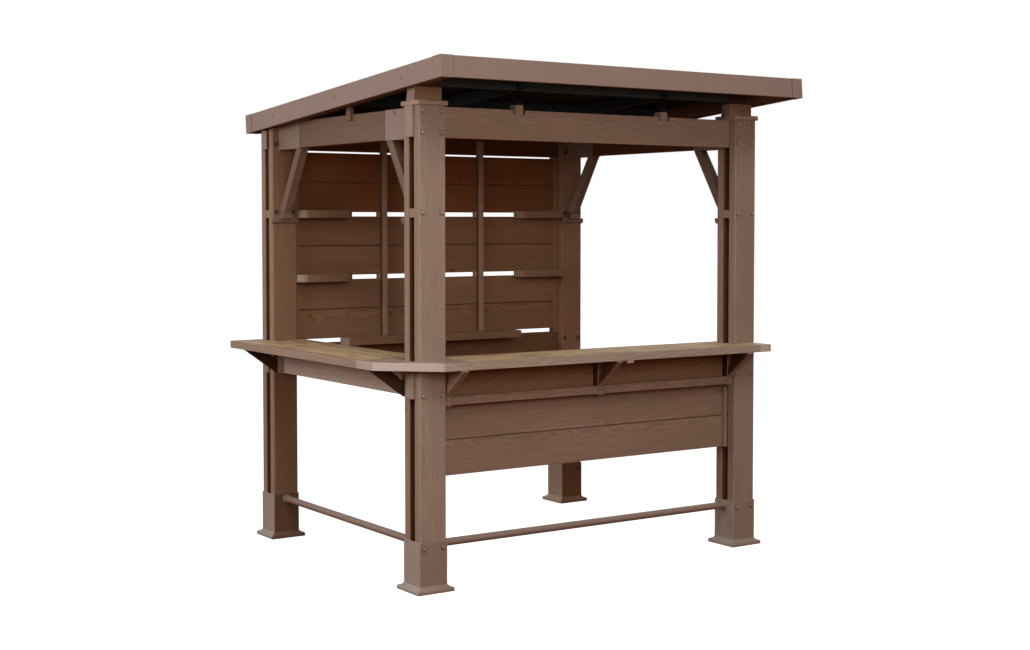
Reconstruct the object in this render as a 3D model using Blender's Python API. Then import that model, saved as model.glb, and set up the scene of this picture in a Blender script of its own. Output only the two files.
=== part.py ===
"""Covered garden bar: four twin plank posts, a low pitched metal-edged roof,
a slatted back wall with shelves and an L-shaped counter on two sides.

Units are metres, +Z is up. X runs along the front from the near left post,
Y runs from the front to the back, and the ground is Z = 0.
"""
import math

import bmesh
import bpy

# Clearance between pieces that rest against each other
FIT = 0.0003

# Posts: two planks with a gap between them, measured over all
PLANK_W = 0.140
PLANK_T = 0.051
GAP = 0.0394
POST_T = 2 * PLANK_T + GAP
EASE = 0.006
SPAN_X = 2.047
SPAN_Y = 1.683

# Boots and their foot trim
BOOT_WALL = 0.003
BOOT_H = 0.236
TRIM_X = 0.028
TRIM_H = 0.031

# Top beams, their end blocks and the sheet metal sleeves on the side beams
BEAM_Z0 = 2.0925
BEAM_H = 0.1425
BEAM_Z1 = BEAM_Z0 + BEAM_H
BACK_BEAM_H = 0.1018
BEAM_END_OUT = 0.015
BEAM_END_T = 0.060
SIDE_BEAM_T = 0.051
SLEEVE_WALL = 0.003
SLEEVE_L = 0.243
SLEEVE_LIP = 0.004
SLEEVE_HOOK = 0.018

# Saddles and hangers that tie the beams to the roof
SADDLE_W = 0.070
SADDLE_RISE = 0.025
SADDLE_DROP = 0.023
SADDLE_WALL = 0.004
HANGER_W = 0.045
HANGER_T = 0.018
HANGER_DROP = 0.030

# Collar and roof block on the front posts
COLLAR_LIP = 0.009
COLLAR_H = 0.020
CAP_W = 0.1465
CAP_Y0 = 0.0375
CAP_DEPTH = 0.075
CAP_TAPER = 0.012
CAP_STEP = 0.002

# Knee braces, their moulded ledges and the blocks in the post gaps
BRACE_W = 0.045
BRACE_RUN = 0.055
BRACE_HEAD = 0.190
BRACE_DROP = 0.3455
BRACE_FOOT_Z = BEAM_Z0 - BRACE_DROP
LEDGE_TRIM_Z1 = BRACE_FOOT_Z - 0.0225
LEDGE_TRIM_Z0 = LEDGE_TRIM_Z1 - 0.0205
LEDGE_TRIM_OUT = 0.012
BLOCK_Z1 = BRACE_FOOT_Z + 0.019
BLOCK_Z0 = BLOCK_Z1 - 0.041

# Counter
TOP_Z1 = 1.067
TOP_T = 0.038
TOP_Z0 = TOP_Z1 - TOP_T
FRONT_EDGE = -0.128
LEFT_EDGE = -0.187
INNER_EDGE = 0.188
CHAMFER_Y = 0.106
CHAMFER_X = 0.054
CORNER_SEAM_Y = 0.262
CORNER_SEAM_X = 0.214
END_CAP = 0.072

# Low beams under the counter
LOW_BEAM_H = 0.1355
LOW_BEAM_Z0 = TOP_Z0 - LOW_BEAM_H
BACK_LOW_TOP = TOP_Z0 + 0.0095

# Front panel, bracket legs, ledge strip and gussets
PANEL_Z1 = LOW_BEAM_Z0 - 0.037
PANEL_H = 0.3355
PANEL_TONGUE = 0.030
PANEL_BATTEN = 0.022
BOARD_T = 0.019
LEG = 0.038
LEG_Z0 = PANEL_Z1 - 0.0045
LEG_FACE = 0.013
LEDGE_FACE = 0.015
LEDGE_LAP = 0.003
GUSSET_T = 0.028
GUSSET_OUT = 0.160
GUSSET_FOOT = 0.0055
GUSSET_HEEL = 0.0555
GUSSET_HEAD = 0.0685
GUSSET_BAND = 0.026
LEFT_GUSSET_OUT = 0.178
LEFT_GUSSET_BAND = 0.085
LEFT_GUSSET_HEEL = 0.0645

# Back wall
SLIT_TOP = 0.010
SLIT = 0.0238
PAIRS = 3
BACK_BOARD = (BEAM_Z0 - SLIT_TOP - BACK_LOW_TOP - PAIRS * SLIT) / (2 * PAIRS)
BATTEN_W = 0.033
BATTEN_T = 0.030
BATTEN_BLOCK = 0.062
END_BATTEN = 0.030
END_BATTEN_T = 0.016
BATTEN_PITCH = 0.642
BATTEN_MID = SPAN_X / 2 - 0.0055

# Shelves
SHELF_T = 0.041
SHELF_DEPTH = 0.087
SHELF_LONG = 0.3315
SHELF_CHAMFER = 0.040
LOW_SHELF_DEPTH = 0.101
LOW_SHELF_START = 0.272
LOW_SHELF_L = 1.143

# Footrest tubes
TUBE_R = 0.018
SOCKET_R = 0.0225
SOCKET_L = 0.026
TUBE_Z = BOOT_H - 0.026

# Roof: metal edge, ribbed sheet, side rafters and the steel grid
ROOF_SIDE = 0.056
ROOF_FRONT = 0.277
ROOF_BACK = 0.068
PITCH = math.radians(4.377)
FASCIA_H = 0.097
FASCIA_T = 0.003
FLANGE = 0.030
FASCIA_FOOT = 0.018
CORNER_CAP = 0.065
CORNER_CAP_T = 0.0025
CORNER_CAP_PROUD = 0.001
SHEET_T = 0.0025
RIB = 0.018
RIB_PITCH = 0.100
RAFTER_D = 0.066
RAFTER_GAP = 0.004
RAIL_T = 0.028
RAIL_D = 0.057
EAVES_IN = 0.047
REAR_RAIL_IN = 0.078
STEEL_W = 0.038
STEEL_D = 0.054
STEEL_PITCH = 0.885
PURLIN_AT = 0.435 * SPAN_Y

# The roof plane rests on the back posts and falls from front to back. Heights
# in the roof's own frame are counted down from the top of its edge.
SHEET_LOW = -FASCIA_T - SHEET_T - RIB - FIT
FRAME_TOP = SHEET_LOW - FIT
FRAME_LOW = FRAME_TOP - RAFTER_D
BACK_TOP = BEAM_Z0 + BACK_BEAM_H
ROOF_X0 = -ROOF_SIDE
ROOF_X1 = SPAN_X + ROOF_SIDE
ROOF_Y0 = -ROOF_FRONT
ROOF_Y1 = SPAN_Y + ROOF_BACK
ROOF_Z = BACK_TOP + FIT + (SPAN_Y + ROOF_FRONT) * math.tan(PITCH) - FRAME_LOW / math.cos(PITCH)
ROOF_LEN = (ROOF_Y1 - ROOF_Y0) / math.cos(PITCH)

# Everything is drawn from the near left post and then moved so that the
# middle of the footprint is at the origin
X_MIN = LEFT_EDGE
X_MAX = ROOF_X1 + CORNER_CAP_T
CAP_LOW = FASCIA_H + CORNER_CAP_PROUD
Y_MIN = ROOF_Y0 - CORNER_CAP_T * math.cos(PITCH) - CAP_LOW * math.sin(PITCH)
Y_MAX = ROOF_Y1 + CORNER_CAP_T * math.cos(PITCH) + CORNER_CAP_PROUD * math.sin(PITCH)
SHIFT_X = -(X_MIN + X_MAX) / 2
SHIFT_Y = -(Y_MIN + Y_MAX) / 2

WOOD = (0.243, 0.160, 0.122)
WOOD_DARK = (0.205, 0.130, 0.098)
TAN = (0.330, 0.235, 0.130)
METAL_BROWN = (0.255, 0.185, 0.150)
BLACK = (0.012, 0.012, 0.012)


def clear_scene():
    for obj in list(bpy.data.objects):
        bpy.data.objects.remove(obj, do_unlink=True)


def material(name, colour, roughness, metallic=0.0):
    mat = bpy.data.materials.new(name)
    mat.use_nodes = True
    shader = mat.node_tree.nodes["Principled BSDF"]
    shader.inputs["Base Color"].default_value = (*colour, 1.0)
    shader.inputs["Roughness"].default_value = roughness
    shader.inputs["Metallic"].default_value = metallic
    mat.diffuse_color = (*colour, 1.0)
    return mat


class Shape:
    """A mesh under construction: closed shells added one after another."""

    def __init__(self):
        self.verts = []
        self.faces = []

    def prism(self, outline, axis, a, b):
        """Extrude a 2D outline along one axis from a to b."""
        n = len(outline)
        base = len(self.verts)
        for level in (a, b):
            for u, v in outline:
                if axis == "x":
                    self.verts.append((level, u, v))
                elif axis == "y":
                    self.verts.append((u, level, v))
                else:
                    self.verts.append((u, v, level))
        self.faces.append([base + i for i in range(n)])
        self.faces.append([base + n + i for i in reversed(range(n))])
        for i in range(n):
            j = (i + 1) % n
            self.faces.append([base + i, base + n + i, base + n + j, base + j])
        return self

    def box(self, x0, x1, y0, y1, z0, z1):
        return self.prism([(x0, y0), (x1, y0), (x1, y1), (x0, y1)], "z", z0, z1)

    def loop_rings(self, rings, closed=False):
        """Join equal-length vertex rings into one skin with flat end caps."""
        base = len(self.verts)
        n = len(rings[0])
        for ring in rings:
            self.verts.extend(ring)
        count = len(rings)
        for k in range(count if closed else count - 1):
            m = (k + 1) % count
            for i in range(n):
                j = (i + 1) % n
                quad = [base + k * n + i, base + k * n + j, base + m * n + j, base + m * n + i]
                self.faces.append(quad)
        if not closed:
            self.faces.append([base + i for i in reversed(range(n))])
            self.faces.append([base + (count - 1) * n + i for i in range(n)])
        return self

    def tilt(self, pitch, x, y, z):
        """Turn from the roof's own frame into the standing frame."""
        s = math.sin(pitch)
        c = math.cos(pitch)
        self.verts = [(x + u, y + v * c + w * s, z - v * s + w * c) for u, v, w in self.verts]
        return self


def rounded(u0, u1, v0, v1, r, steps=3):
    """Rectangle outline with rounded corners."""
    points = []
    corners = ((u1 - r, v1 - r, 0), (u0 + r, v1 - r, 90), (u0 + r, v0 + r, 180), (u1 - r, v0 + r, 270))
    for cu, cv, start in corners:
        for k in range(steps + 1):
            angle = math.radians(start + 90 * k / steps)
            points.append((cu + r * math.cos(angle), cv + r * math.sin(angle)))
    return points


def circle(cu, cv, r, count=32):
    turn = 2 * math.pi / count
    return [(cu + r * math.cos(turn * k), cv + r * math.sin(turn * k)) for k in range(count)]


def to_object(name, shape, mat, smooth_angle=None):
    mesh = bpy.data.meshes.new(name)
    verts = [(x + SHIFT_X, y + SHIFT_Y, z) for x, y, z in shape.verts]
    mesh.from_pydata(verts, [], shape.faces)
    bm = bmesh.new()
    bm.from_mesh(mesh)
    bmesh.ops.recalc_face_normals(bm, faces=bm.faces)
    bm.to_mesh(mesh)
    bm.free()
    mesh.materials.append(mat)
    obj = bpy.data.objects.new(name, mesh)
    bpy.context.scene.collection.objects.link(obj)
    if smooth_angle is not None:
        mesh.shade_smooth()
        for edge in mesh.edges:
            edge.use_edge_sharp = False
        mesh.set_sharp_from_angle(angle=math.radians(smooth_angle))
    return obj


def boolean(obj, shape, operation):
    """Add or cut away a shape with an exact Boolean."""
    tool = to_object(obj.name + "_tool", shape, obj.data.materials[0])
    tool.hide_render = True
    tool.display_type = "WIRE"
    mod = obj.modifiers.new(operation.lower(), "BOOLEAN")
    mod.operation = operation
    mod.solver = "EXACT"
    mod.use_self = operation == "UNION"
    mod.object = tool
    return obj


def post_corner(side_x, side_y):
    """Lower left corner of a post: side_x 0 left, 1 right; side_y 0 front, 1 back."""
    return side_x * (SPAN_X - PLANK_W), side_y * (SPAN_Y - POST_T)


def roof_height(y, level):
    """Height, over a point at y, of one level of the roof's own frame."""
    return ROOF_Z - (y - ROOF_Y0) * math.tan(PITCH) + level / math.cos(PITCH)


def roof_low(y):
    """Height of the rafters' underside over a point at y."""
    return roof_height(y, FRAME_LOW)


def make_post(name, side_x, side_y, mat):
    """Two eased planks held apart by short blocks; the back ones are cut to the roof's slope."""
    x, y = post_corner(side_x, side_y)
    planks = Shape()
    back = y + PLANK_T + GAP
    seat = 0.002
    inset = 0.001
    for start in (y, back):
        outline = rounded(x, x + PLANK_W, start, start + PLANK_T, EASE)
        foot = [(u, v, 0.0) for u, v in outline]
        if side_y == 0:
            head = [(u, v, BEAM_Z1 + FIT + seat) for u, v in outline]
        else:
            head = [(u, v, roof_low(v) - FIT) for u, v in outline]
        planks.loop_rings([foot, head])
    obj = to_object(name, planks, mat)
    blocks = Shape()
    for z0, z1 in ((0.1 * BOOT_H, 0.9 * BOOT_H), (BLOCK_Z0, BLOCK_Z1)):
        blocks.box(x + inset, x + PLANK_W - inset, y + PLANK_T - seat, back + seat, z0, z1)
    boolean(obj, blocks, "UNION")
    if side_y == 0:
        boolean(obj, post_head(side_x, seat), "UNION")
    return obj


def post_head(side_x, seat):
    """Moulded collar round a front post and the tapered block that carries the roof.

    Beside the side rafter the block carries a set-back upper piece as high as the rafter.
    """
    x, y = post_corner(side_x, 0)
    z = BEAM_Z1 + FIT
    head = Shape()
    rows = [
        (COLLAR_LIP - 0.002, z), (COLLAR_LIP, z + 0.004),
        (COLLAR_LIP, z + COLLAR_H), (COLLAR_LIP - 0.003, z + COLLAR_H + 0.003),
    ]
    rings = []
    for out, height in rows:
        rings.append([
            (x - out, y - out, height), (x + PLANK_W + out, y - out, height),
            (x + PLANK_W + out, y + POST_T + out, height), (x - out, y + POST_T + out, height)])
    head.loop_rings(rings)
    left = x + (PLANK_W - CAP_W) / 2
    front = y + CAP_Y0
    foot_z = z + COLLAR_H + 0.003 - seat
    foot = [(left, front, foot_z), (left + CAP_W, front, foot_z),
            (left + CAP_W, front + CAP_DEPTH, foot_z), (left, front + CAP_DEPTH, foot_z)]
    rear = front + CAP_DEPTH - CAP_TAPER
    top = [(left, front, roof_low(front) - FIT), (left + CAP_W, front, roof_low(front) - FIT),
           (left + CAP_W, rear, roof_low(rear) - FIT), (left, rear, roof_low(rear) - FIT)]
    head.loop_rings([foot, top])
    reach = FASCIA_T + 2 * FIT + side_rafter_width()
    if side_x == 0:
        a, b = ROOF_X0 + reach, left + CAP_W - CAP_STEP
    else:
        a, b = left + CAP_STEP, ROOF_X1 - reach
    plan = [(a, front + CAP_STEP), (b, front + CAP_STEP), (b, rear - CAP_STEP), (a, rear - CAP_STEP)]
    foot = [(u, v, roof_low(v) - FIT - seat) for u, v in plan]
    top = [(u, v, roof_height(v, FRAME_TOP)) for u, v in plan]
    return head.loop_rings([foot, top])


def make_boot(name, side_x, side_y, mat):
    """Smooth sleeve round the post foot with a moulded skirt at the ground."""
    x, y = post_corner(side_x, side_y)
    profile = [
        (FIT, 0.0), (TRIM_X, 0.0), (TRIM_X, 0.010), (TRIM_X - 0.003, 0.016),
        (0.012, TRIM_H - 0.004), (0.008, TRIM_H), (BOOT_WALL + FIT, TRIM_H + 0.002),
        (BOOT_WALL + FIT, BOOT_H - 0.001), (BOOT_WALL + FIT - 0.001, BOOT_H), (FIT, BOOT_H),
    ]
    rings = []
    for sx, sy in ((-1, -1), (1, -1), (1, 1), (-1, 1)):
        cx = x if sx < 0 else x + PLANK_W
        cy = y if sy < 0 else y + POST_T
        rings.append([(cx + sx * out, cy + sy * out, z) for out, z in profile])
    shape = Shape().loop_rings(rings, closed=True)
    return to_object(name, shape, mat)


def make_through_beam(name, y, z0, z1, mat, low_ends=0.0):
    """Beam through the post gaps with a square end block outside each post.

    Between the posts the beam may stand higher than its ends, by low_ends.
    """
    front = y + PLANK_T + FIT
    back = y + PLANK_T + GAP - FIT
    end_z = z1 - low_ends
    shape = Shape().prism(rounded(front, back, z0, z1, 0.002, 2), "x", FIT, SPAN_X - FIT)
    obj = to_object(name, shape, mat)
    stub = Shape().prism(rounded(front + 0.001, back - 0.001, z0 + 0.001, end_z - 0.001, 0.002, 2), "x",
                         -BEAM_END_OUT + 0.002, SPAN_X + BEAM_END_OUT - 0.002)
    boolean(obj, stub, "UNION")
    mid = y + POST_T / 2
    ends = Shape()
    outline = rounded(mid - BEAM_END_T / 2, mid + BEAM_END_T / 2, z0, end_z, 0.003, 2)
    ends.prism(outline, "x", -BEAM_END_OUT, -FIT)
    ends.prism(outline, "x", SPAN_X + FIT, SPAN_X + BEAM_END_OUT)
    return boolean(obj, ends, "UNION")


def steel_xs():
    """Middle of each steel roof rafter, across the bar."""
    return SPAN_X / 2 - STEEL_PITCH / 2, SPAN_X / 2 + STEEL_PITCH / 2


def add_saddles(beam):
    """Saddles over the front beam, one under each steel rafter."""
    front = PLANK_T + FIT - SADDLE_WALL
    back = PLANK_T + GAP - FIT + SADDLE_WALL
    saddles = Shape()
    low = BEAM_Z1 - SADDLE_DROP
    for x in steel_xs():
        saddles.box(x - SADDLE_W / 2, x + SADDLE_W / 2, front, back, low, BEAM_Z1 + SADDLE_RISE)
    return boolean(beam, saddles, "UNION")


def side_x_range(side_x):
    """Left and right face of a side beam centred on the posts of one side."""
    x = post_corner(side_x, 0)[0]
    mid = x + PLANK_W / 2
    return mid - SIDE_BEAM_T / 2, mid + SIDE_BEAM_T / 2


def make_side_beam(name, side_x, z0, z1, mat):
    x0, x1 = side_x_range(side_x)
    shape = Shape().prism(rounded(x0, x1, z0, z1, 0.003, 2), "y", POST_T + FIT, SPAN_Y - POST_T - FIT)
    return to_object(name, shape, mat)


def add_hanger(beam, side_x, z1):
    """Cleat on the beam's outer face that reaches up to the side rafter."""
    x0, x1 = side_x_range(side_x)
    seat = 0.001
    low = z1 - HANGER_DROP
    a = PURLIN_AT - HANGER_W / 2
    b = PURLIN_AT + HANGER_W / 2
    outer, inner = (x0 - HANGER_T, x0 + seat) if side_x == 0 else (x1 - seat, x1 + HANGER_T)
    foot = [(outer, a, low), (inner, a, low), (inner, b, low), (outer, b, low)]
    top = [(u, v, roof_low(v) - FIT) for u, v, _ in foot]
    return boolean(beam, Shape().loop_rings([foot, top]), "UNION")


def make_sleeve(name, side_x, side_y, mat):
    """Pressed sheet stirrup round the beam end, with a hooked lip against the post."""
    x0, x1 = side_x_range(side_x)
    gap = FIT + 0.0005
    outer = gap + SLEEVE_WALL
    if side_y == 0:
        a = POST_T + 2 * FIT
        b = POST_T + SLEEVE_L
    else:
        a = SPAN_Y - POST_T - SLEEVE_L
        b = SPAN_Y - POST_T - 2 * FIT
    top = BEAM_Z1 - 0.002
    low = BEAM_Z0 - outer
    outline = [
        (x0 - outer, top), (x0 - outer, low), (x1 + outer, low), (x1 + outer, top),
        (x1 + gap, top), (x1 + gap, BEAM_Z0 - gap), (x0 - gap, BEAM_Z0 - gap), (x0 - gap, top),
    ]
    obj = to_object(name, Shape().prism(outline, "y", a, b), mat)
    lip = Shape()
    near = a if side_y == 0 else b - SLEEVE_LIP
    step = 0.001
    for wall, sign in ((x0, -1), (x1, 1)):
        inner = wall + sign * (gap + step)
        edge = wall + sign * (outer + SLEEVE_LIP)
        hook = [(inner, top), (inner, low - SLEEVE_HOOK / 2), (edge, low - SLEEVE_HOOK), (edge, top)]
        lip.prism(hook, "y", near, near + SLEEVE_LIP)
    return boolean(obj, lip, "UNION")


def make_brace(name, side_x, side_y, mat):
    """Knee brace from the post's inner face up to the sleeve, on a moulded ledge."""
    px = post_corner(side_x, 0)[0]
    mid = px + PLANK_W / 2
    turn = 1 if side_y == 0 else -1
    face = (POST_T + FIT) if side_y == 0 else (SPAN_Y - POST_T - FIT)
    top = BEAM_Z0 - SLEEVE_WALL - 3 * FIT - 0.0005
    shoe = BRACE_FOOT_Z - 0.004
    outline = [
        (face, shoe), (face + turn * 0.030, shoe), (face + turn * (BRACE_HEAD + BRACE_RUN), top),
        (face + turn * BRACE_HEAD, top), (face, shoe + 0.050),
    ]
    obj = to_object(name, Shape().prism(outline, "x", mid - BRACE_W / 2, mid + BRACE_W / 2), mat)
    foot = Shape()
    block = [(face, LEDGE_TRIM_Z1 - 0.003), (face + turn * 0.034, LEDGE_TRIM_Z1 - 0.003),
             (face + turn * 0.034, shoe + 0.006), (face, shoe + 0.006)]
    foot.prism(block, "x", mid - BRACE_W / 2 - 0.010, mid + BRACE_W / 2 + 0.010)
    obj = boolean(obj, foot, "UNION")
    trim = Shape()
    lip = [
        (face, LEDGE_TRIM_Z0 - 0.010), (face + turn * (LEDGE_TRIM_OUT - 0.007), LEDGE_TRIM_Z0 - 0.004),
        (face + turn * LEDGE_TRIM_OUT, LEDGE_TRIM_Z0), (face + turn * LEDGE_TRIM_OUT, LEDGE_TRIM_Z1),
        (face, LEDGE_TRIM_Z1),
    ]
    trim.prism(lip, "x", px - 0.006, px + PLANK_W + 0.006)
    return boolean(obj, trim, "UNION")


def board_pair(z0, z1, y0, y1):
    """Outline of two boards edge to edge with a V groove at the joint."""
    mid = (z0 + z1) / 2
    groove = 0.003
    ease = 0.0015
    return [
        (y0 + ease, z0), (y1, z0), (y1, z1), (y0 + ease, z1), (y0, z1 - ease),
        (y0, mid + groove), (y0 + groove, mid), (y0, mid - groove), (y0, z0 + ease),
    ]


def wall_face():
    """Front face of the back wall's boards: they lean on the back plank's gap side."""
    return SPAN_Y - POST_T + PLANK_T + FIT


def make_back_wall(mat):
    """Board pairs with open slits, carried by upright battens and small blocks."""
    y0 = wall_face()
    y1 = y0 + BOARD_T
    x0 = PLANK_W + FIT
    x1 = SPAN_X - PLANK_W - FIT
    boards = Shape()
    z1 = BEAM_Z0 - SLIT_TOP
    slits = []
    for _ in range(PAIRS):
        z0 = z1 - 2 * BACK_BOARD
        boards.prism(board_pair(z0, z1, y0, y1), "x", x0, x1)
        z1 = z0 - SLIT
        slits.append((z1, z0))
    wall = to_object("back_wall", boards, mat)
    foot = BACK_LOW_TOP + FIT
    head = BEAM_Z0 - FIT
    uprights = Shape()
    seat = 0.002
    battens = (BATTEN_MID - BATTEN_PITCH / 2, BATTEN_MID + BATTEN_PITCH / 2)
    for x in battens:
        outline = rounded(x - BATTEN_W / 2, x + BATTEN_W / 2, y0 - BATTEN_T, y0 + seat, 0.002, 2)
        uprights.prism(outline, "z", foot, head)
    for a, b in ((x0, x0 + END_BATTEN), (x1 - END_BATTEN, x1)):
        uprights.box(a, b, y0 - END_BATTEN_T, y0 + seat, foot, head)
    boolean(wall, uprights, "UNION")
    blocks = Shape()
    step = 0.001
    spots = [(x - BATTEN_BLOCK / 2, x + BATTEN_BLOCK / 2) for x in battens]
    spots += [(x0 + step, x0 + step + BATTEN_BLOCK), (x1 - step - BATTEN_BLOCK, x1 - step)]
    for z0, z1 in slits[:-1]:
        for a, b in spots:
            blocks.box(a, b, y0 - 4 * step, y1 - seat, z0 - seat, z1 + seat)
    boolean(wall, blocks, "UNION")
    return slits


def make_shelf(name, outline, z1, mat):
    return to_object(name, Shape().prism(outline, "z", z1 - SHELF_T, z1), mat)


def shelf_outline(x0, x1, front, back):
    """Small corner shelf, cut back at the two front corners."""
    c = SHELF_CHAMFER
    return [(x0, back), (x0, front + c), (x0 + c, front), (x1 - c, front), (x1, front + c), (x1, back)]


def make_shelves(slits, mat):
    """Four corner shelves level with the two upper slits and a wide one at the lowest."""
    back = wall_face() - END_BATTEN_T - FIT
    left = PLANK_W + FIT
    right = SPAN_X - PLANK_W - FIT
    for level, (z0, z1) in zip(("upper", "middle"), slits):
        top = (z0 + z1) / 2 + SHELF_T / 2
        for word, a, b in (("left", left, left + SHELF_LONG), ("right", right - SHELF_LONG, right)):
            outline = shelf_outline(a, b, back - SHELF_DEPTH, back)
            make_shelf("shelf_" + level + "_" + word, outline, top, mat)
    back = wall_face() - BATTEN_T - FIT
    a = PLANK_W + LOW_SHELF_START
    b = a + LOW_SHELF_L
    front = back - LOW_SHELF_DEPTH
    make_shelf("shelf_lower_wide", [(a, back), (a, front), (b, front), (b, back)], TOP_Z1 + 0.001, mat)


def make_front_panel(mat):
    """Two boards under the counter, let into the post gaps, with a batten at each post."""
    y1 = PLANK_T + GAP - FIT
    y0 = y1 - BOARD_T
    x0 = PLANK_W - PANEL_TONGUE
    x1 = SPAN_X - x0
    z0 = PANEL_Z1 - PANEL_H
    panel = to_object("front_panel", Shape().prism(board_pair(z0, PANEL_Z1, y0, y1), "x", x0, x1), mat)
    battens = Shape()
    side = PLANK_W + FIT
    for a, b in ((side, side + PANEL_BATTEN), (SPAN_X - side - PANEL_BATTEN, SPAN_X - side)):
        battens.box(a, b, PLANK_T + 0.001, y0 + 0.002, z0, PANEL_Z1)
    return boolean(panel, battens, "UNION")


def gusset_outline(face):
    """Side outline of a front bracket, as distance out from the beam and height."""
    top = TOP_Z0 - FIT
    foot = LOW_BEAM_Z0 + GUSSET_FOOT
    nib = 0.004
    return [
        (face + nib, foot), (face, foot), (face - GUSSET_OUT, top - nib), (face - GUSSET_OUT + nib, top),
        (face - GUSSET_BAND, top), (face - GUSSET_BAND, LOW_BEAM_Z0 + GUSSET_HEAD),
        (face + nib, LOW_BEAM_Z0 + GUSSET_HEEL),
    ]


def make_front_brackets(mat):
    """Bracket legs and their gussets, joined by the ledge strip between the legs."""
    face = LEG_FACE
    back = PLANK_T - FIT
    legs = Shape()
    starts = (PLANK_W + FIT, SPAN_X / 2, SPAN_X - PLANK_W - FIT - LEG)
    for x in starts:
        legs.box(x, x + LEG, face, back, LEG_Z0, TOP_Z0 - FIT)
    obj = to_object("front_bracket_rail", legs, mat)
    strip = Shape()
    seat = 0.002
    ledge = rounded(LEDGE_FACE, back - 0.001, PANEL_Z1 + 2 * FIT, LOW_BEAM_Z0 + LEDGE_LAP, 0.0015, 1)
    for a, b in zip(starts, starts[1:]):
        strip.prism(ledge, "x", a + LEG - seat, b + seat)
    boolean(obj, strip, "UNION")
    gussets = Shape()
    inset = (LEG - GUSSET_T) / 2
    for x in starts:
        gussets.prism(gusset_outline(face), "x", x + inset, x + inset + GUSSET_T)
    return boolean(obj, gussets, "UNION")


def add_left_brackets(beam):
    """The same kind of bracket at both ends of the left low beam, on its outer face."""
    x0 = side_x_range(0)[0]
    face = x0 - LEG
    seat = 0.001
    top = TOP_Z0 - FIT
    foot = LOW_BEAM_Z0 + 0.004
    legs = Shape()
    reach = Shape()
    inset = (LEG - GUSSET_T) / 2
    outline = [
        (face + 0.004, foot), (face, foot), (face - LEFT_GUSSET_OUT, top - 0.004),
        (face - LEFT_GUSSET_OUT + 0.004, top), (face - LEFT_GUSSET_BAND, top),
        (face + 0.004, LOW_BEAM_Z0 + LEFT_GUSSET_HEEL),
    ]
    for y in (POST_T + FIT, SPAN_Y - POST_T - FIT - LEG):
        legs.box(face, x0 + seat, y, y + LEG, LOW_BEAM_Z0 + seat, top)
        reach.prism(outline, "y", y + inset, y + inset + GUSSET_T)
    boolean(beam, legs, "UNION")
    return boolean(beam, reach, "UNION")


def make_counter(wood, tan):
    """Corner piece, front and left tops notched round the posts, and end boards."""
    f = FIT
    z0 = TOP_Z0
    z1 = TOP_Z1
    px = PLANK_W + f
    py = POST_T + f
    corner = [
        (LEFT_EDGE, CORNER_SEAM_Y), (LEFT_EDGE, CHAMFER_Y), (CHAMFER_X, FRONT_EDGE),
        (CORNER_SEAM_X, FRONT_EDGE),
        (CORNER_SEAM_X, INNER_EDGE), (INNER_EDGE, INNER_EDGE), (INNER_EDGE, CORNER_SEAM_Y),
    ]
    obj = to_object("counter_corner", Shape().prism(corner, "z", z0, z1), wood)
    hole = Shape().box(-f, px, -f, py, z0 - 0.01, z1 + 0.01)
    boolean(obj, hole, "DIFFERENCE")
    nx = SPAN_X - PLANK_W - f
    cap_x = SPAN_X - END_CAP
    front = [
        (CORNER_SEAM_X + f, FRONT_EDGE), (cap_x, FRONT_EDGE), (cap_x, -f), (nx, -f), (nx, py), (cap_x, py),
        (cap_x, INNER_EDGE), (CORNER_SEAM_X + f, INNER_EDGE),
    ]
    to_object("counter_front", Shape().prism(front, "z", z0, z1), tan)
    ny = SPAN_Y - POST_T - f
    cap_y = SPAN_Y - END_CAP
    stop_y = ny + 0.020
    left = [
        (LEFT_EDGE, CORNER_SEAM_Y + f), (INNER_EDGE, CORNER_SEAM_Y + f), (INNER_EDGE, stop_y), (px, stop_y),
        (px, ny), (-f, ny), (-f, cap_y), (LEFT_EDGE, cap_y),
    ]
    to_object("counter_left", Shape().prism(left, "z", z0, z1), tan)
    end = Shape().box(cap_x + f, SPAN_X, FRONT_EDGE, -f, z0, z1 + 0.0005)
    to_object("counter_front_end", end, wood)
    end = Shape().box(LEFT_EDGE, -f, cap_y + f, SPAN_Y, z0, z1 + 0.0005)
    to_object("counter_left_end", end, wood)


def make_tube(name, axis, a, b, other, mat):
    """Round footrest bar with a short socket at each end."""
    shape = Shape()
    stops = [(a, SOCKET_R), (a + SOCKET_L, SOCKET_R), (a + SOCKET_L, TUBE_R), (b - SOCKET_L, TUBE_R),
             (b - SOCKET_L, SOCKET_R), (b, SOCKET_R)]
    rings = []
    for at, r in stops:
        if axis == "x":
            rings.append([(at, u, v) for u, v in circle(other, TUBE_Z, r)])
        else:
            rings.append([(u, at, v) for u, v in circle(other, TUBE_Z, r)])
    shape.loop_rings(rings)
    return to_object(name, shape, mat, 40)


def fascia_run(ends, profile):
    """Sweep a fascia profile between two mitred ends.

    Each end is a function from the profile's inward distance and height to a
    point in the roof frame.
    """
    return Shape().loop_rings([[end(inward, w) for inward, w in profile] for end in ends])


def fascia_profile():
    """Edge board as pressed sheet: a tall face, a short foot and a flange over the roof."""
    t = FASCIA_T
    return [
        (0.0, 0.0), (0.0, -FASCIA_H), (FASCIA_FOOT, -FASCIA_H), (FASCIA_FOOT, -FASCIA_H + t),
        (t, -FASCIA_H + t), (t, -t), (FLANGE, -t), (FLANGE, 0.0),
    ]


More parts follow.
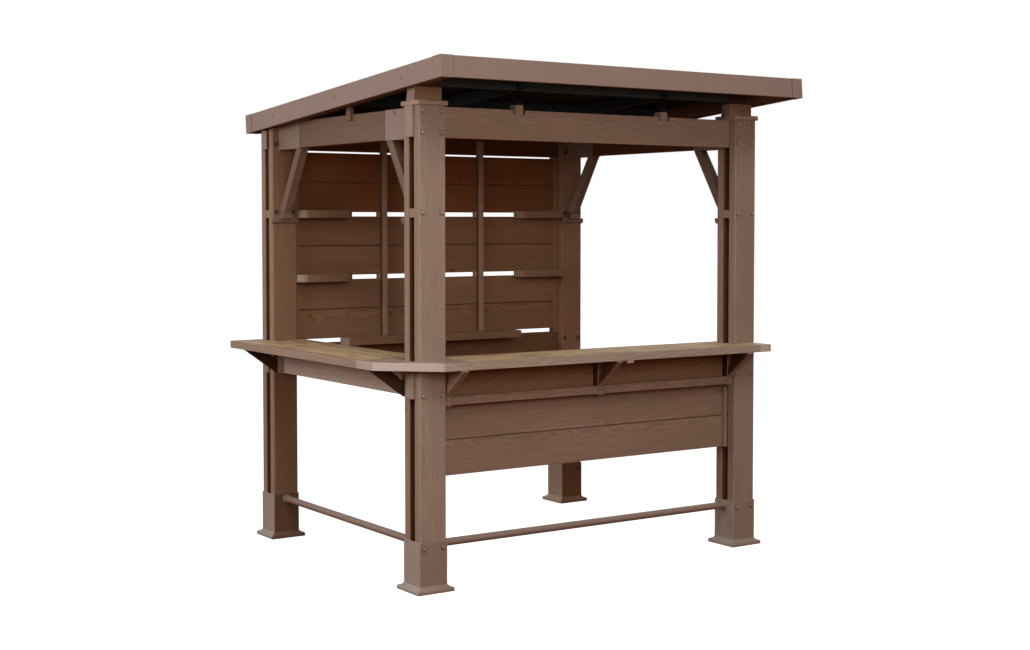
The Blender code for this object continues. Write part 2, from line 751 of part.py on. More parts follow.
def corner_cap(cx, cy, sx, sy):
    """L-shaped cap round a roof corner, on the end of a front or back edge board."""
    t = CORNER_CAP_T
    bite = FASCIA_T / 2
    # The cap's leg along the slope stays clear of the side board it covers
    angle = [(-t, -t), (CORNER_CAP, -t), (CORNER_CAP, bite), (2 * FASCIA_T, bite),
             (2 * FASCIA_T, -FIT), (-FIT, -FIT), (-FIT, CORNER_CAP), (-t, CORNER_CAP)]
    outline = [(cx + sx * u, cy + sy * v) for u, v in angle]
    return Shape().prism(outline, "z", -CAP_LOW, CORNER_CAP_PROUD)


def make_roof(metal, black, wood):
    width = ROOF_X1 - ROOF_X0
    length = ROOF_LEN
    profile = fascia_profile()
    place = (PITCH, ROOF_X0, ROOF_Y0, ROOF_Z)
    f = FIT
    runs = {
        "fascia_front": (lambda d, w: (d + f, d, w), lambda d, w: (width - d - f, d, w)),
        "fascia_back": (lambda d, w: (d + f, length - d, w), lambda d, w: (width - d - f, length - d, w)),
        "fascia_left": (lambda d, w: (d, d + f, w), lambda d, w: (d, length - d - f, w)),
        "fascia_right": (lambda d, w: (width - d, d + f, w), lambda d, w: (width - d, length - d - f, w)),
    }
    boards = {}
    for name, ends in runs.items():
        boards[name] = to_object(name, fascia_run(ends, profile).tilt(*place), metal)
    for name, cy, sy in (("fascia_front", 0.0, 1), ("fascia_back", length, -1)):
        for cx, sx in ((0.0, 1), (width, -1)):
            boolean(boards[name], corner_cap(cx, cy, sx, sy).tilt(*place), "UNION")
    make_sheet(width, length, place, black)
    make_side_rafters(width, length, place, wood)
    make_steel_frame(width, length, place, black)


def make_sheet(width, length, place, mat):
    """Ribbed roof sheet: the ribs run down the slope."""
    top = -FASCIA_T - FIT
    x0 = FASCIA_T + FIT
    x1 = width - x0
    count = int((x1 - x0) / RIB_PITCH)
    pitch = (x1 - x0) / count
    upper = []
    for k in range(count):
        a = x0 + k * pitch
        upper += [(a, top - RIB), (a + pitch * 0.52, top - RIB)]
        upper += [(a + pitch * 0.64, top), (a + pitch * 0.88, top)]
    upper.append((x1, top - RIB))
    lower = [(u, w - SHEET_T) for u, w in upper]
    outline = upper + lower[::-1]
    y0 = FASCIA_T + FIT
    shape = Shape().prism(outline, "y", y0, length - y0)
    to_object("roof_sheet", shape.tilt(*place), mat)


def side_rafter_width():
    """The side rafters stop a little short of the sleeves on the side beams."""
    sleeve_face = side_x_range(0)[0] - FIT - 0.0005 - SLEEVE_WALL - SLEEVE_LIP
    return sleeve_face - RAFTER_GAP - ROOF_X0 - FASCIA_T - FIT


def make_side_rafters(width, length, place, mat):
    """Wooden rafters inside the two side edges, resting on the posts."""
    inner = FASCIA_T + FIT
    w = side_rafter_width()
    back = length - inner
    for word, a, b in (("left", inner, inner + w), ("right", width - inner - w, width - inner)):
        rafter = Shape().box(a, b, inner, back, FRAME_LOW, FRAME_TOP)
        to_object("side_rafter_" + word, rafter.tilt(*place), mat)


def make_steel_frame(width, length, place, mat):
    """Black steel grid under the sheet: a rail between the front posts' blocks, two rafters
    out to the eaves, a purlin and a rear rail, with stub legs on the front beam."""
    top = FRAME_TOP
    y = PLANK_T + GAP / 2
    middle = (y - ROOF_Y0) / math.cos(PITCH)
    end = (PLANK_W + CAP_W) / 2 - CAP_STEP + FIT - ROOF_X0
    rail = Shape().box(end, width - end, middle - RAIL_T / 2, middle + RAIL_T / 2, top - RAIL_D, top)
    obj = to_object("roof_frame", rail.tilt(*place), mat)
    step = 0.002
    w = side_rafter_width() + FASCIA_T + 2 * FIT
    rear = length - REAR_RAIL_IN
    purlin = (PURLIN_AT - ROOF_Y0) / math.cos(PITCH)
    half = STEEL_W / 2
    cross = Shape()
    for v in (purlin, rear):
        cross.box(w, width - w, v - half, v + half, top - STEEL_D, top - step / 2)
    boolean(obj, cross.tilt(*place), "UNION")
    rafters = Shape()
    for x in steel_xs():
        u = x - ROOF_X0
        rafters.box(u - half, u + half, EAVES_IN, rear, top - STEEL_D - step, top - step)
    boolean(obj, rafters.tilt(*place), "UNION")
    legs = Shape()
    low = BEAM_Z1 + SADDLE_RISE + FIT
    for x in steel_xs():
        high = roof_low(y) - (FRAME_LOW + STEEL_D - FRAME_TOP) / math.cos(PITCH)
        legs.box(x - half + step, x + half - step, y - half, y + half, low, high + 2 * step)
    return boolean(obj, legs, "UNION")


def build():
    clear_scene()
    wood = material("stained_wood", WOOD, 0.62)
    dark = material("wall_wood", WOOD_DARK, 0.66)
    tan = material("counter_top", TAN, 0.60)
    metal = material("brown_metal", METAL_BROWN, 0.45)
    black = material("black_metal", BLACK, 0.50)

    for side_y, row in enumerate(("front", "back")):
        for side_x, side in enumerate(("left", "right")):
            word = row + "_" + side
            make_post("post_" + word, side_x, side_y, wood)
            make_boot("boot_" + word, side_x, side_y, metal)
            make_sleeve("beam_sleeve_" + word, side_x, side_y, metal)
            make_brace("knee_brace_" + word, side_x, side_y, wood)

    back = SPAN_Y - POST_T
    add_saddles(make_through_beam("front_beam", 0.0, BEAM_Z0, BEAM_Z1, wood))
    make_through_beam("back_beam", back, BEAM_Z0, BACK_TOP - FIT, wood)
    for side_x, side in enumerate(("left", "right")):
        top = BEAM_Z1 - 0.003
        beam = make_side_beam(side + "_beam", side_x, BEAM_Z0, top, wood)
        add_hanger(beam, side_x, top)

    top = TOP_Z0 - FIT
    make_through_beam("front_low_beam", 0.0, LOW_BEAM_Z0, top, wood)
    make_through_beam("back_low_beam", back, LOW_BEAM_Z0, BACK_LOW_TOP, dark, BACK_LOW_TOP - top)
    add_left_brackets(make_side_beam("left_low_beam", 0, LOW_BEAM_Z0, top, wood))

    slits = make_back_wall(dark)
    make_shelves(slits, dark)
    make_front_panel(wood)
    make_front_brackets(wood)
    make_counter(wood, tan)

    wall = BOOT_WALL + 2 * FIT
    make_tube("footrest_front", "x", PLANK_W + wall, SPAN_X - PLANK_W - wall, POST_T / 2, metal)
    make_tube("footrest_left", "y", POST_T + wall, SPAN_Y - POST_T - wall, PLANK_W / 2, metal)
    make_roof(metal, black, dark)


build()
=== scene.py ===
import math
import random
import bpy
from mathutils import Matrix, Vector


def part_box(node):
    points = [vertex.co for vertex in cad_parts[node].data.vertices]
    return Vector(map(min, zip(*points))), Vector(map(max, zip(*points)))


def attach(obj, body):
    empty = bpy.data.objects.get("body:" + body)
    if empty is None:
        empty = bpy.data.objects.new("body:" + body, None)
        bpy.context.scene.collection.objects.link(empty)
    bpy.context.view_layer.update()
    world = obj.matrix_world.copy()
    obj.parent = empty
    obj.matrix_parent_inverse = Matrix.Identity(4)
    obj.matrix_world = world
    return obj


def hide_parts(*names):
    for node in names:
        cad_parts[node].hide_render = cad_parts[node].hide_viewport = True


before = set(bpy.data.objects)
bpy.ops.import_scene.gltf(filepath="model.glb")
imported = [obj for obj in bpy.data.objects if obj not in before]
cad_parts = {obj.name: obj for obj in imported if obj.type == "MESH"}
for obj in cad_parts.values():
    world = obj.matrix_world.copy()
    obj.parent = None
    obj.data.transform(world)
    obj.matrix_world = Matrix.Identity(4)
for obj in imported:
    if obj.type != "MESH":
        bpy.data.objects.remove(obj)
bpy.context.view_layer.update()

import zlib

import bmesh
import bpy
from mathutils import Vector

# The place where the bar is looked at: a pale floor in an open white studio.
# Three broad soft lamps stand above, in front and at the left, and a little
# light comes from the sky all round.
scene = bpy.context.scene
scene.view_settings.view_transform = "Standard"

lens = bpy.data.cameras.new("view")
lens.sensor_width = 36.0
lens.lens = 54.786
lens.shift_x = -0.003275
lens.shift_y = -0.039646
lens.clip_end = 200.0
camera = bpy.data.objects.new("view", lens)
camera.location = (-4.57586, -6.87355, 1.71024)
camera.rotation_euler = (math.radians(90 - 2.3162), 0.0, math.radians(-34.1088))
scene.collection.objects.link(camera)
scene.camera = camera


def soft_lamp(name, place, target, width, height, power, colour):
    """Flat lamp that stands at a place, faces a target and isn't seen itself."""
    lamp = bpy.data.lights.new(name, "AREA")
    lamp.shape = "RECTANGLE"
    lamp.size = width
    lamp.size_y = height
    lamp.energy = power
    lamp.color = colour
    holder = bpy.data.objects.new(name, lamp)
    holder.location = place
    sight = Vector(target) - Vector(place)
    holder.rotation_euler = sight.to_track_quat("-Z", "Y").to_euler()
    holder.visible_camera = False
    scene.collection.objects.link(holder)


soft_lamp("high_lamp", (-1.8, -5.6, 7.4), (0, 0, 1.2), 5.0, 3.0, 250, (1.0, 1.0, 1.0))
soft_lamp("front_lamp", (-1.7, -6.0, 2.95), (-0.3, 0, 1.2), 4.0, 2.0, 124, (1.0, 0.97, 0.94))
soft_lamp("left_lamp", (-5.4, -0.2, 2.4), (-0.9, 0, 0.9), 3.0, 1.6, 152, (0.97, 0.985, 1.0))


class Tone:
    """A number that changes over a surface. Sums and products of it add their Math nodes."""

    def __init__(self, paint, socket):
        self.paint = paint
        self.socket = socket

    def __add__(self, other):
        return self.paint.math("ADD", self, other)

    def __sub__(self, other):
        return self.paint.math("SUBTRACT", self, other)

    def __rsub__(self, other):
        return self.paint.math("SUBTRACT", other, self)

    def __mul__(self, other):
        return self.paint.math("MULTIPLY", self, other)

    def __truediv__(self, other):
        return self.paint.math("DIVIDE", self, other)

    def __rtruediv__(self, other):
        return self.paint.math("DIVIDE", other, self)

    __radd__ = __add__
    __rmul__ = __mul__


class Paint:
    """The node tree of one finish or of the studio's light."""

    def __init__(self, owner):
        owner.use_nodes = True
        self.owner = owner
        self.tree = owner.node_tree
        self.tree.nodes.clear()

    def node(self, kind, settings, sockets, out=0):
        """Node of a type, with its settings and then the values or links of its sockets."""
        made = self.tree.nodes.new(kind)
        for key, value in settings.items():
            setattr(made, key, value)
        for key, value in sockets.items():
            if isinstance(value, Tone):
                self.tree.links.new(value.socket, made.inputs[key])
            else:
                made.inputs[key].default_value = value
        return Tone(self, made.outputs[out]) if made.outputs else made

    def math(self, operation, *values):
        return self.node("ShaderNodeMath", {"operation": operation}, dict(enumerate(values)))

    def step(self, value, low, high, start=0.0, end=1.0):
        """Smooth rise of a value from start at low to end at high."""
        sockets = {"Value": value, "From Min": low, "From Max": high,
                   "To Min": start, "To Max": end}
        return self.node("ShaderNodeMapRange", {"interpolation_type": "SMOOTHSTEP"}, sockets)

    def vector(self, operation, a, b, out=0):
        return self.node("ShaderNodeVectorMath", {"operation": operation}, {0: a, 1: b}, out)

    def noise(self, place, stretch, detail=2.0, rough=0.5):
        moved = self.vector("MULTIPLY", place, stretch)
        sockets = {"Vector": moved, "Scale": 1.0, "Detail": detail, "Roughness": rough}
        return self.node("ShaderNodeTexNoise", {}, sockets)

    def blend(self, share, a, b):
        return self.node("ShaderNodeMix", {"data_type": "RGBA"}, {0: share, 6: a, 7: b}, 2)

    def shade(self, colour, level):
        sockets = {0: colour, "Scale": level}
        return self.node("ShaderNodeVectorMath", {"operation": "SCALE"}, sockets)


WHITE = (1.0, 1.0, 1.0, 1.0)
sky = Paint(bpy.data.worlds.new("studio"))
scene.world = sky.owner
ray = {word: sky.node("ShaderNodeLightPath", {}, {}, word) for word in
       ("Is Camera Ray", "Is Glossy Ray", "Is Transmission Ray")}
seen = sky.math("MAXIMUM", ray["Is Camera Ray"], ray["Is Glossy Ray"])
seen = sky.math("MAXIMUM", seen, ray["Is Transmission Ray"])
way = sky.node("ShaderNodeTexCoord", {}, {}, "Generated")
climb = sky.step(sky.node("ShaderNodeSeparateXYZ", {}, {0: way}, "Z"), 0.0, 0.8)
low_sky, high_sky = (1.0, 0.60, 0.38, 1.0), (0.96, 0.98, 1.0, 1.0)
tint = sky.blend(climb, low_sky, high_sky)
glow = sky.node("ShaderNodeBackground", {}, {"Color": tint, "Strength": 0.07 + climb * 0.42})
white = sky.node("ShaderNodeBackground", {}, {"Color": WHITE, "Strength": 1.0})
sky_look = sky.node("ShaderNodeMixShader", {}, {0: seen, 1: glow, 2: white})
sky.node("ShaderNodeOutputWorld", {}, {"Surface": sky_look})

ground = bmesh.new()
bmesh.ops.create_grid(ground, x_segments=1, y_segments=1, size=60.0)
bmesh.ops.translate(ground, verts=ground.verts, vec=(0, 0, -0.0005))
floor_mesh = bpy.data.meshes.new("floor")
ground.to_mesh(floor_mesh)
ground.free()
floor = bpy.data.objects.new("floor", floor_mesh)
scene.collection.objects.link(floor)
pale = Paint(bpy.data.materials.new("pale_floor"))
looked_at = pale.node("ShaderNodeLightPath", {}, {}, "Is Camera Ray")
warm_bounce, pale_grey = (0.24, 0.09, 0.035, 1.0), (0.80, 0.80, 0.80, 1.0)
tint = pale.blend(looked_at, warm_bounce, pale_grey)
matt = pale.node("ShaderNodeBsdfDiffuse", {}, {"Color": tint})
lift = pale.node("ShaderNodeEmission", {}, {"Color": WHITE, "Strength": looked_at * 0.80})
floor_look = pale.node("ShaderNodeAddShader", {}, {0: matt, 1: lift})
pale.node("ShaderNodeOutputMaterial", {}, {"Surface": floor_look})
floor_mesh.materials.append(pale.owner)


# The four posts. Each is two stained softwood planks with a gap between them,
# planed with soft edges and held apart by short blocks. The front posts end in
# a moulded collar and a tapered block that carries the roof.
def timber(name, body, dark, ring=0.0052, figure=0.5, cloud=0.12, rough=0.66, lay=None, rub=None):
    """Stained wood, with year rings a ring apart, knots, streaks and fibres.

    The grain attribute holds each board's own place: along it, then across it from the pith.
    """
    p = Paint(bpy.data.materials.new(name))
    grain = p.node("ShaderNodeAttribute", {"attribute_name": "grain"}, {}, "Vector")
    grain = lay(p, grain) if lay else grain
    board = p.node("ShaderNodeAttribute", {"attribute_name": "board"}, {}, "Fac")
    wear_and_highlight = p.node("ShaderNodeAttribute", {"attribute_name": "wear_and_highlight"}, {}, "Fac")
    side = p.node("ShaderNodeSeparateXYZ", {}, {0: grain}, "Y")
    deep = p.node("ShaderNodeSeparateXYZ", {}, {0: grain}, "Z")
    cells_a_metre, knot_stretch, knots_left_out = (3.1, 10.0, 10.0), (0.17, 0.1, 0.1), 0.70
    near = p.vector("MULTIPLY", grain, cells_a_metre)
    cell = p.node("ShaderNodeTexVoronoi", {}, {"Vector": near, "Scale": 1.0}, "Position")
    pick = p.node("ShaderNodeTexVoronoi", {}, {"Vector": near, "Scale": 1.0}, "Color")
    pick = p.node("ShaderNodeSeparateColor", {}, {0: pick})
    kept = p.math("GREATER_THAN", pick, knots_left_out)
    away = p.vector("MULTIPLY", p.vector("SUBTRACT", near, cell), knot_stretch)
    away = p.node("ShaderNodeVectorMath", {"operation": "LENGTH"}, {0: away}, "Value")
    eye = kept * p.step(away, 0.0065, 0.0105, 1.0, 0.0)
    swirl = kept * p.step(away, 0.0, 0.045, 1.0, 0.0)
    radius = p.math("SQRT", side * side + deep * deep)
    wander = p.noise(grain, (2.4, 5.0, 5.0), 2.0)
    shiver = p.noise(grain, (7.0, 60.0, 60.0), 1.0)
    rings = (radius + wander * 0.060 + shiver * 0.003) / ring + swirl * 1.9
    turn = p.math("FRACT", rings)
    late = p.step(turn, 0.30, 0.88) * p.step(turn, 0.90, 1.0, 1.0, 0.0)
    streak = p.noise(grain, (3.4, 120.0, 120.0), 3.0, 0.7)
    fibre = p.noise(grain, (18.0, 620.0, 620.0), 2.0, 0.6)
    drift = p.noise(grain, (1.4, 7.0, 7.0), 3.0, 0.55)
    knot_tone = (dark[0] * 0.45, dark[1] * 0.40, dark[2] * 0.36, 1.0)
    wear_and_highlight_tone = (body[0] * 1.32, body[1] * 1.36, body[2] * 1.40, 1.0)
    colour = p.blend(late * figure, (*body, 1.0), (*dark, 1.0))
    colour = p.blend(eye * 0.45, colour, knot_tone)
    # Marked edges are paler: partly wear, partly a painted highlight on the edges.
    colour = p.blend(wear_and_highlight * 0.55, colour, wear_and_highlight_tone)
    colour = rub(p, grain, colour) if rub else colour
    level = 1.0 + (streak - 0.5) * 0.44 + (fibre - 0.5) * 0.22
    level = level + (drift - 0.5) * (2.0 * cloud) + board * 0.05
    level = level - swirl * swirl * 0.10
    height = late * 0.4 + fibre * 0.35 + streak * 0.35 - eye * 0.5
    bump = p.node("ShaderNodeBump", {}, {"Strength": 0.55, "Distance": 0.0006, "Height": height})
    look = p.node("ShaderNodeBsdfPrincipled", {}, {
        "Base Color": p.shade(colour, level), "Normal": bump,
        "Roughness": rough + (fibre - 0.5) * 0.22 - late * 0.05 - wear_and_highlight * 0.08,
        "IOR": 1.45, "Specular IOR Level": 0.22})
    p.node("ShaderNodeOutputMaterial", {}, {"Surface": look})
    return p.owner


def along(axis):
    """Rule for a piece that is one length of wood."""
    return lambda centre: (axis, 0)


def eased(node, ease, rule, finishes, sort=None, hard=55.0, trim=None):
    """Copy of a solid with its outer edges softened and the wood's grain laid in each board.

    The rule gives each face's board and the way it runs, sort picks each face's
    finish, and trim moves corners first. Angles past hard are softened.
    """
    bm = bmesh.new()
    bm.from_mesh(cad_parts[node].data)
    bmesh.ops.remove_doubles(bm, verts=bm.verts, dist=0.00002)
    bmesh.ops.dissolve_limit(bm, angle_limit=math.radians(0.4), verts=bm.verts, edges=bm.edges)
    if trim:
        trim(bm)
    edges = [e for e in bm.edges if e.is_manifold and e.is_convex and e.calc_length() > 7 * ease
             and e.calc_face_angle() > math.radians(hard)]
    rim = bmesh.ops.bevel(bm, geom=edges, offset=ease, segments=2, profile=0.5, affect="EDGES")
    rim = set(rim["faces"])
    place = bm.loops.layers.float_vector.new("grain")
    wear_and_highlight_layer = bm.faces.layers.float.new("wear_and_highlight")
    tone = bm.faces.layers.float.new("board")
    boards = {}
    for face in bm.faces:
        axis, number = rule(face.calc_center_median())
        boards.setdefault((tuple(axis), number), []).append(face)
        # Bevelled rims and narrow faces are marked for a paler tone: partly wear, partly a painted
        # highlight.
        narrow = 2 * face.calc_area() / max(face.calc_perimeter(), 1e-6) < 0.0024
        face[wear_and_highlight_layer] = 1.0 if face in rim or narrow else 0.0
        face.material_index = sort(face) if sort else 0
    for (axis, number), faces in boards.items():
        chance = random.Random(zlib.crc32(f"{node} {number}".encode()))
        run = Vector(axis).normalized()
        side = run.orthogonal() if abs(run.z) > 0.99 else run.cross(Vector((0, 0, 1)))
        side.normalize()
        deep = run.cross(side)
        points = [loop.vert.co for face in faces for loop in face.loops]
        reach = []
        for way in (run, side, deep):
            spread = [q.dot(way) for q in points]
            reach.append((min(spread), max(spread)))
        middle = [(low + high) / 2 for low, high in reach]
        start = chance.uniform(-20, 20)
        pith = chance.uniform(-0.035, 0.035), chance.choice((-1, 1)) * chance.uniform(0.040, 0.090)
        flat = reach[1][1] - reach[1][0] > reach[2][1] - reach[2][0]
        shift = (start, pith[0], pith[1]) if flat else (start, pith[1], pith[0])
        level = chance.uniform(-1, 1)
        for face in faces:
            face[tone] = level
            for loop in face.loops:
                q = loop.vert.co
                loop[place] = [q.dot(way) - m + s
                               for way, m, s in zip((run, side, deep), middle, shift)]
    mesh = bpy.data.meshes.new(node + "_finished")
    bm.to_mesh(mesh)
    bm.free()
    for finish in finishes:
        mesh.materials.append(finish)
    piece = bpy.data.objects.new(node + "_finished", mesh)
    scene.collection.objects.link(piece)
    mesh.shade_smooth()
    mesh.set_sharp_from_angle(angle=math.radians(50))
    even = piece.modifiers.new("even", "WEIGHTED_NORMAL")
    even.keep_sharp = True
    even.weight = 80
    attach(piece, "root")
    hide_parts(node)
    return piece


PLANK_W, PLANK_T, POST_T = 0.140, 0.051, 0.1414
GAP_HALF = POST_T / 2 - PLANK_T
ROOF_FALL = math.radians(4.377)
CORNERS = [(row, side) for row in ("front", "back") for side in ("left", "right")]
plank_gap = {}
for row in ("front", "back"):
    low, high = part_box("boot_" + row + "_left")
    plank_gap[row] = (low.y + high.y) / 2
left_x, right_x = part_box("post_back_left")[0].x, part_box("post_back_right")[0].x
front_y, rear_y = plank_gap["front"] - POST_T / 2, plank_gap["back"] - POST_T / 2
beam_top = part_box("beam_sleeve_front_left")[1].z + 0.002
collar_top = beam_top + 0.025
block_joint_z, block_front_y = 2.3213, front_y + 0.0375


def post_rule(row):
    """Rule for a post: its two planks, the blocks in the gap, and the collar and block on top."""
    middle = plank_gap[row]

    def rule(centre):
        if row == "front" and centre.z > beam_top - 0.001:
            return (1, 0, 0), 3 if centre.z < collar_top else 4
        if abs(centre.y - middle) < GAP_HALF - 0.0012:
            return (1, 0, 0), 5 + int(centre.z > 1)
        return (0, 0, 1), int(centre.y > middle)

    return rule


def post_faces(face):
    """0 planks, 1 collar, 2 block's front, 3 its upper piece, 4 the gap's walls,
    5 the back posts' inner sides, 6 the near left post's front."""
    centre, out = face.calc_center_median(), face.normal
    if centre.y < 0 and centre.z > beam_top + 0.001:
        if centre.z > block_joint_z - (centre.y - block_front_y) * math.tan(ROOF_FALL):
            return 3
        return 1 if centre.z < collar_top else 2 if out.y < -0.5 else 0
    middle = plank_gap["front" if centre.y < 0 else "back"]
    if abs(out.y) > 0.5 and abs(centre.y - middle) < GAP_HALF + 0.0018:
        return 4
    if centre.y > 0 and (out.y < -0.5 or (out.x < -0.5 and centre.x > 0)):
        return 5
    return 6 if centre.x < 0 and centre.y < 0 and out.y < -0.5 else 0


BROWN = (0.262, 0.177, 0.134)
BROWN_DARK = (0.150, 0.090, 0.062)
post_wood = timber("post_wood", BROWN, BROWN_DARK, figure=0.33, cloud=0.18)
# The collar is painted lighter than the planks: painted light.
lit_collar_wood = timber("lit_collar_wood", (0.330, 0.222, 0.166), (0.200, 0.125, 0.088), figure=0.3)
# The block's front is painted warmer and lighter than its sides: painted light.
lit_block_front_wood = timber("lit_block_front_wood", (0.345, 0.195, 0.115), (0.210, 0.115, 0.065), figure=0.3)
shade_wood = timber("shade_wood", (0.095, 0.044, 0.022), (0.060, 0.028, 0.014), figure=0.3)
# The gap's walls and the beam faces that look into the bar are painted in deep shade.
deep_shade_wood = timber("deep_shade_wood", (0.110, 0.040, 0.013), (0.070, 0.028, 0.012), figure=0.3)
# The back posts' sides that look into the bar are painted darker: painted shade.
inner_shade_wood = timber("inner_shade_wood", (0.242, 0.132, 0.075), (0.140, 0.070, 0.040),
                    figure=0.42, cloud=0.2)
# The near left post's front is painted lighter and greyer: painted light.
lit_front_post_wood = timber("lit_front_post_wood", (0.296, 0.211, 0.163), (0.185, 0.122, 0.090),
                        figure=0.33, cloud=0.2)
post_finishes = [post_wood, lit_collar_wood, lit_block_front_wood, shade_wood, deep_shade_wood, inner_shade_wood, lit_front_post_wood]
for row, side in CORNERS:
    eased(f"post_{row}_{side}", 0.0014, post_rule(row), post_finishes, post_faces)

# The beams on the posts: one through the front gaps and one through the back
# gaps, each with end blocks, and a beam at each side. They are planed softwood
# in the same stain; the side beams are painted darker, as painted shade. The
# front beam carries two folded steel saddles.
beam_wood = timber("beam_wood", (0.285, 0.186, 0.134), BROWN_DARK, 0.0058, 0.30, 0.20)
# Paler sawn ends; the same finish paints light on the left shelves' cut corners.
end_grain_and_lit_wood = timber("end_grain_and_lit_wood", (0.275, 0.205, 0.155), BROWN_DARK, 0.0058, 0.25)
# The side beams are painted darker than the front and back beams: painted shade.
shaded_side_beam_wood = timber("shaded_side_beam_wood", (0.175, 0.108, 0.074), (0.105, 0.062, 0.042),
                        0.0058, 0.35)
saddle_half, saddle_kept = 0.0355, 0.60
saddle_xs = [(left_x + right_x + PLANK_W) / 2 + turn * 0.4425 for turn in (-1, 1)]


def narrow_saddles(bm):
    """The saddles' folded steel is only a little wider than the legs that stand on it."""
    for vert in bm.verts:
        outside = abs(vert.co.y - plank_gap["front"]) > GAP_HALF + 0.0018
        for middle in saddle_xs:
            aside = vert.co.x - middle
            if abs(aside) < saddle_half and (outside or vert.co.z > beam_top + 0.001):
                vert.co.x = middle + aside * saddle_kept


def beam_ends(face):
    """Sawn ends stand a little out of the posts, and are paler."""
    x = face.calc_center_median().x
    return 1 if x < left_x + 0.004 or x > right_x + PLANK_W - 0.004 else 0


def back_beam_faces(face):
    """The face that looks into the bar is painted in deep shade."""
    return 2 if face.normal.y < -0.5 else beam_ends(face)


eased("front_beam", 0.0012, along((1, 0, 0)), [beam_wood, end_grain_and_lit_wood], beam_ends,
      trim=narrow_saddles)
eased("back_beam", 0.0012, along((1, 0, 0)), [beam_wood, end_grain_and_lit_wood, deep_shade_wood],
      back_beam_faces)
eased("left_beam", 0.0012, along((0, 1, 0)), [shaded_side_beam_wood])


def inner_side(face):
    """The side that looks into the bar is painted in deep shade."""
    return 1 if face.normal.x < -0.5 else 0


eased("right_beam", 0.0012, along((0, 1, 0)), [shaded_side_beam_wood, deep_shade_wood],
      inner_side)


# Boots and beam sleeves: pressed steel sheet, powder coated brown. The boots
# slip over the post feet and end in a moulded skirt, and the sleeves wrap the
# ends of the side beams.
def coated(name, colour, rough, peel=0.00012, dust=(0.30, 0.27, 0.24), shine=1.5):
    """Powder coat on sheet metal, with faint rain marks and a little dust on what faces up."""
    p = Paint(bpy.data.materials.new(name))
    place = p.node("ShaderNodeTexCoord", {}, {}, "Object")
    wear_and_highlight = p.node("ShaderNodeAttribute", {"attribute_name": "wear_and_highlight"}, {}, "Fac")
    drift = p.noise(place, (2.3, 2.3, 2.3), 3.0)
    marks = p.noise(place, (46.0, 46.0, 2.2), 3.0, 0.6)
    speck = p.noise(place, (420.0, 420.0, 420.0), 2.0, 0.6)
    normal = p.node("ShaderNodeNewGeometry", {}, {}, "Normal")
    up = p.step(p.node("ShaderNodeSeparateXYZ", {}, {0: normal}, "Z"), 0.5, 1.0)
    settled = up * p.step(p.noise(place, (9.0, 9.0, 9.0), 4.0, 0.65), 0.35, 0.75) * 0.30
    wear_and_highlight_tone = (colour[0] * 1.4, colour[1] * 1.45, colour[2] * 1.5, 1.0)
    # Marked edges are paler: partly wear, partly a painted highlight.
    base = p.blend(wear_and_highlight * 0.35, (*colour, 1.0), wear_and_highlight_tone)
    base = p.blend(settled, base, (*dust, 1.0))
    level = 1.0 + (drift - 0.5) * 0.20 + (marks - 0.5) * 0.12 + (speck - 0.5) * 0.06
    bump = p.node("ShaderNodeBump", {}, {"Strength": 0.3, "Distance": peel, "Height": speck})
    look = p.node("ShaderNodeBsdfPrincipled", {}, {
        "Base Color": p.shade(base, level), "Normal": bump,
        "Roughness": rough + (drift - 0.5) * 0.14 + (marks - 0.5) * 0.10 + settled * 0.4,
        "IOR": shine, "Specular IOR Level": 0.30})
    p.node("ShaderNodeOutputMaterial", {}, {"Surface": look})
    return p.owner


boot_coat = coated("boot_coat", (0.238, 0.162, 0.124), 0.46)
# The boots' left sides are painted lighter: painted light.
lit_boot_side = coated("lit_boot_side", (0.290, 0.232, 0.196), 0.46)
boot_shade = coated("boot_shade", (0.138, 0.054, 0.020), 0.55)
# The right back boot's left side is painted lighter and warmer: painted light.
lit_back_boot_side = coated("lit_back_boot_side", (0.400, 0.280, 0.205), 0.46)
# The left back boot's inner side is painted darker: painted shade.
boot_inner_shade = coated("boot_inner_shade", (0.126, 0.066, 0.034), 0.55)
sleeve_coat = coated("sleeve_coat", (0.246, 0.172, 0.134), 0.45)
# The back sleeves are painted darker than the front ones: painted shade.
back_sleeve_shade = coated("back_sleeve_shade", (0.192, 0.130, 0.094), 0.45)


# Finishes 1 and 3 paint light on the boots' left sides; 2 and 4 paint shade on the back boots'
# inner sides.
def boot_faces(face):
    """1 left sides, 2 the right back boot's inner side and 3 its left one, 4 the left back
    boot's inner side, 0 all others."""
    centre = face.calc_center_median()
    if face.normal.x < -0.3:
        return 3 if centre.x > 0 and centre.y > 0 else 1
    if face.normal.y < -0.3 and centre.y > 0:
        return 2 if centre.x > 0 else 4
    return 0


def hollow_skirt(bm):
    """The skirt curves in above an upright lip: new height and share of the width at each level."""
    middle = sum((vert.co for vert in bm.verts), Vector()) / len(bm.verts)
    curve = {0.010: (0.0148, 1.0), 0.016: (0.0190, 0.994),
             0.027: (0.0245, 0.970), 0.031: (0.0300, 0.974)}
    for vert in bm.verts:
        rise, share = curve.get(round(vert.co.z, 3), (vert.co.z, 1.0))
        aside, back = vert.co.x - middle.x, vert.co.y - middle.y
        vert.co = (middle.x + aside * share, middle.y + back * share, rise)


boot_finishes = [boot_coat, lit_boot_side, boot_shade, lit_back_boot_side, boot_inner_shade]
sleeve_of = {"front": sleeve_coat, "back": back_sleeve_shade}
for row, side in CORNERS:
    eased(f"boot_{row}_{side}", 0.0010, along((0, 0, 1)), boot_finishes, boot_faces,
          trim=hollow_skirt)
    eased(f"beam_sleeve_{row}_{side}", 0.0006, along((0, 1, 0)), [sleeve_of[row]])

